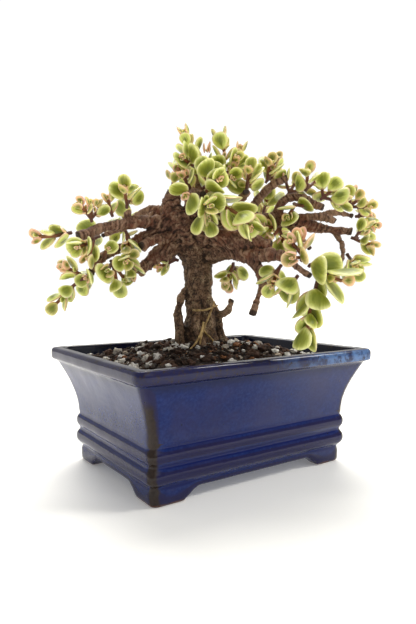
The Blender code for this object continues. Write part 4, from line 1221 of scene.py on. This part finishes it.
def make_leaf_finish():
    leaf = Finish("variegated_leaf")
    inward, young, tone = leaf.marked("inward"), leaf.marked("young"), leaf.marked("tone")
    spot = place_on_leaf(leaf)
    streaks = leaf.noise(0.24, 4, 0.65, spot)
    ragged = leaf.plus(inward, leaf.times(leaf.math("SUBTRACT", streaks, 0.5), 0.75))
    margin = leaf.plus(leaf.times(leaf.math("POWER", tone, 1.8), 0.44), 0.05)
    margin = leaf.plus(margin, leaf.times(young, 0.20))
    green_share = leaf.steps(leaf.math("SUBTRACT", ragged, margin), -0.12, 0.42)
    greens = leaf.mix(leaf.steps(leaf.noise(0.55, 3, 0.6, spot), 0.35, 0.68), *LEAF_GREENS)
    greens = leaf.mix(leaf.steps(ragged, 0.30, 0.8, 0.2, 0.8), PALE_GREEN, greens)
    colour = leaf.mix(green_share, leaf.mix(leaf.steps(inward, 0.0, 0.35), *CREAMS), greens)
    blush = leaf.steps(leaf.plus(inward, leaf.times(streaks, 0.3)), 0.22, 1.0, 1.0, 0.0)
    colour = leaf.mix(leaf.times(blush, leaf.steps(young, 0.26, 0.70), 0.75), colour, PINK)
    fine_edge = leaf.times(leaf.steps(inward, 0.02, 0.11, 0.6, 0.0), leaf.steps(tone, 0.5, 0.9))
    colour = leaf.mix(fine_edge, colour, EDGE_RED)
    spots = leaf.steps(leaf.noise(0.2, 2, 0.5, spot), 0.70, 0.76, 0.0, 0.6)
    colour = leaf.mix(spots, colour, SPOT_BROWN)
    colour = leaf.mix(leaf.steps(leaf.marked("along"), 0.0, 0.12, 0.7, 0.0), colour, FOOT_BROWN)
    leaf.set(Base_Color=colour, Roughness=leaf.steps(streaks, 0.3, 0.7, 0.27, 0.42), IOR=1.42,
             Subsurface_Weight=0.4, Subsurface_Radius=(1.0, 0.95, 0.3), Subsurface_Scale=1.2 * MM)
    leaf.bump(leaf.noise(0.22, 3, 0.6, spot), 0.05)
    return leaf.material


def make_stem_finish():
    stem = Finish("stem")
    along = stem.plus(stem.marked("along"), stem.times(stem.noise(3, 3), 0.5))
    colour = stem.mix(stem.steps(along, 0.45, 1.1), *STEM_BROWNS)
    colour = stem.mix(stem.steps(along, 1.1, 1.6), colour, STEM_TAN)
    colour = stem.mix(stem.steps(stem.noise(0.8, 4), 0.5, 0.8, 0.0, 0.5), colour, STEM_SCARS)
    stem.set(Base_Color=colour, Roughness=0.5)
    stem.bump(stem.noise(0.7, 4), 0.15)
    return stem.material


shoot_finishes = [make_leaf_finish(), make_stem_finish()]
for name, mesh in shoot_meshes.items():
    finish_piece(name + "_leaves", mesh, shoot_finishes, [name])
print("shoots finished:", len(shoot_meshes))

# %% [markdown]
# ## The potting mix
#
# Dark bark chips, a few redder ones, white lumps of pumice and a lot of
# crumbs. A bump texture alone would look like a carpet from the side, so the
# loose pieces are real ones. The frame's soil gives the lie of the ground, and
# a roughened skin over it comes first, to fill in between them.

# %% Lay the ground
SOIL_SKIN = 0.95 * MM
CLOD_SIZE = 4.2 * MM
CLOD_HEIGHT = 0.9 * MM
EARTH_BROWNS = ((0.010, 0.006, 0.005), (0.050, 0.027, 0.018))
EARTH_PALE = (0.30, 0.26, 0.22)


def shape_ground():
    mesh = skinned(joined_mesh(["soil"]), "ground", SOIL_SKIN)
    points = averaged(read_points(mesh), read_edges(mesh), 3)
    write_points(mesh, points)
    upper = np.clip(read_normals(mesh)[:, 2] * 2 - 0.4, 0, 1)
    points[:, 2] += rough_noise(points, CLOD_SIZE, 5, 4) * CLOD_HEIGHT * upper
    write_points(mesh, points)
    return mesh


def make_mix_finish():
    mix = Finish("potting_mix")
    split = mix.tree.nodes.new("ShaderNodeSeparateColor")
    mix.put(split.inputs[0], mix.cells(1.7, "Color"))
    colour = mix.mix(mix.steps(split.outputs[0], 0.5, 0.9), *EARTH_BROWNS)
    colour = mix.mix(mix.steps(split.outputs[1], 0.86, 0.9), colour, EARTH_PALE)
    mix.set(Base_Color=colour, Roughness=0.95, Specular_IOR_Level=0.2)
    mix.bump(mix.plus(mix.cells(1.7), mix.noise(0.8, 5)), 0.6)
    return mix.material


ground_mesh = shape_ground()
ground = finish_piece("ground", ground_mesh, [make_mix_finish()], ["soil"])
ground_tree = BVHTree.FromObject(ground, bpy.context.evaluated_depsgraph_get())
print("ground:", len(ground_mesh.polygons), "quads")

# %% [markdown]
# A particle system could scatter the loose pieces, but it wouldn't keep them
# out of the trunk. So each is dropped by a ray from above that finds the
# ground, is turned to lie on it, and is left out where the wood is too near.
# The shapes are balls pushed in and out by noise and squashed, a few of each
# kind.

# %% Scatter the chips, the pumice and the crumbs
RIM_CLEAR = 9.5 * MM  # from the outer edge of the rim to the inner wall and a little more
DROP_FROM = pot_high.z + 0.05
TRIES = 3  # for each piece that is wanted
chance = random.Random(23)


def lump(detail, flatness, jag):
    """A rough stone or chip of unit size."""
    bm = bmesh.new()
    bmesh.ops.create_icosphere(bm, subdivisions=detail, radius=0.5)
    shift = Vector((chance.uniform(0, 99), chance.uniform(0, 99), chance.uniform(0, 99)))
    for v in bm.verts:
        push = 1 + jag * noise.noise(v.co * 2.4 + shift) + 0.5 * jag * noise.noise(v.co * 6.0 + shift)
        v.co = Vector((v.co.x * flatness[0], v.co.y * flatness[1], v.co.z * flatness[2])) * push
    points = np.array([v.co for v in bm.verts])
    faces = [tuple(v.index for v in f.verts) for f in bm.faces]
    bm.free()
    return points, faces


def drop(name, shapes, count, sizes, sink, wood_room, stand=0.35):
    """Drops that many pieces on the ground, each turned its own way and sunk by a share of its size."""
    points, faces, tone, total = [], [], [], 0
    for _ in range(count * TRIES):
        if len(points) == count:
            break
        x = chance.uniform(pot_low.x + RIM_CLEAR, pot_high.x - RIM_CLEAR)
        y = chance.uniform(pot_low.y + RIM_CLEAR, pot_high.y - RIM_CLEAR)
        spot, normal, _, _ = ground_tree.ray_cast(Vector((x, y, DROP_FROM)), Vector((0, 0, -1)))
        size = chance.uniform(*sizes) * MM
        if spot is None or wood_tree.find_nearest(spot)[3] < wood_room * size:
            continue
        shape, sides = shapes[chance.randrange(len(shapes))]
        turn = Matrix.Rotation(chance.uniform(0, 2 * math.pi), 3, "Z")
        tip = Matrix.Rotation(chance.uniform(-stand, stand), 3, "X")
        lean = normal.to_track_quat("Z", "Y").to_matrix()
        placed = shape * size @ np.array(lean @ turn @ tip).T
        placed = placed + np.array(spot + normal * size * (0.5 - sink) * 0.6)
        points.append(placed)
        faces += [tuple(v + total for v in f) for f in sides]
        tone.append(np.full(len(placed), chance.random()))
        total += len(placed)
    mesh = bpy.data.meshes.new(name)
    mesh.from_pydata(np.concatenate(points).tolist(), [], faces)
    mark(mesh, "tone", np.concatenate(tone))
    print(name + ":", len(points))
    return mesh


pumice_shapes = [lump(3, (1.0, chance.uniform(0.6, 0.9), 0.7), 0.85) for _ in range(9)]
chip_shapes = [lump(3, (1.1, chance.uniform(0.6, 0.95), 0.5), 1.1) for _ in range(12)]
crumb_shapes = [lump(1, (1.0, 0.8, 0.6), 0.7) for _ in range(5)]
chips = drop("bark_chips", chip_shapes, 420, (2.2, 5.6), 0.3, 0.3, 0.9)
pumice = drop("pumice", pumice_shapes, 140, (1.6, 5.6), 0.15, 0.5)
crumbs = drop("crumbs", crumb_shapes, 2200, (0.7, 2.1), 0.1, 0.2)

# %% [markdown]
# Pumice is white but stained by the bark, and bark chips are nearly black, with
# a few redder ones. Each loose piece carries a tone of its own, so one finish
# serves for all the chips and crumbs.

# %% Finish the loose pieces
PUMICE_WHITES = ((0.62, 0.58, 0.52), (0.80, 0.79, 0.77))
PUMICE_TAN = (0.42, 0.31, 0.22)
PUMICE_STAIN = (0.16, 0.11, 0.08)
CHIP_BLACKS = ((0.010, 0.006, 0.005), (0.060, 0.027, 0.016))
CHIP_BROWN = (0.120, 0.060, 0.036)
CHIP_RED = (0.30, 0.13, 0.055)
CHIP_GRAIN = (0.120, 0.066, 0.042)


def make_pumice_finish():
    stone = Finish("pumice")
    tone = stone.marked("tone")
    colour = stone.mix(tone, *PUMICE_WHITES)
    colour = stone.mix(stone.steps(tone, 0.0, 0.25, 0.7, 0.0), colour, PUMICE_TAN)
    stain = stone.steps(stone.noise(1.6, 5), 0.48, 0.7)
    colour = stone.mix(stone.times(stain, 0.75), colour, PUMICE_STAIN)
    stone.set(Base_Color=colour, Roughness=0.9)
    stone.bump(stone.plus(stone.cells(0.6), stone.noise(0.5, 4)), 0.3)
    return stone.material


def make_chip_finish():
    chip = Finish("bark_chip")
    tone = chip.marked("tone")
    colour = chip.mix(chip.steps(tone, 0.25, 0.8), *CHIP_BLACKS)
    colour = chip.mix(chip.steps(tone, 0.78, 0.84), colour, CHIP_BROWN)
    colour = chip.mix(chip.steps(tone, 0.95, 0.98), colour, CHIP_RED)
    grain = chip.noise(1.0, 6, 0.7, distortion=0.6)
    colour = chip.mix(chip.steps(grain, 0.4, 0.75, 0.0, 0.6), colour, CHIP_GRAIN)
    chip.set(Base_Color=colour, Roughness=0.85, Specular_IOR_Level=0.3)
    chip.bump(grain, 0.35)
    return chip.material


chip_finish = make_chip_finish()
finish_piece("bark_chips", chips, [chip_finish])
finish_piece("pumice", pumice, [make_pumice_finish()])
finish_piece("crumbs", crumbs, [chip_finish])
print("loose pieces finished")
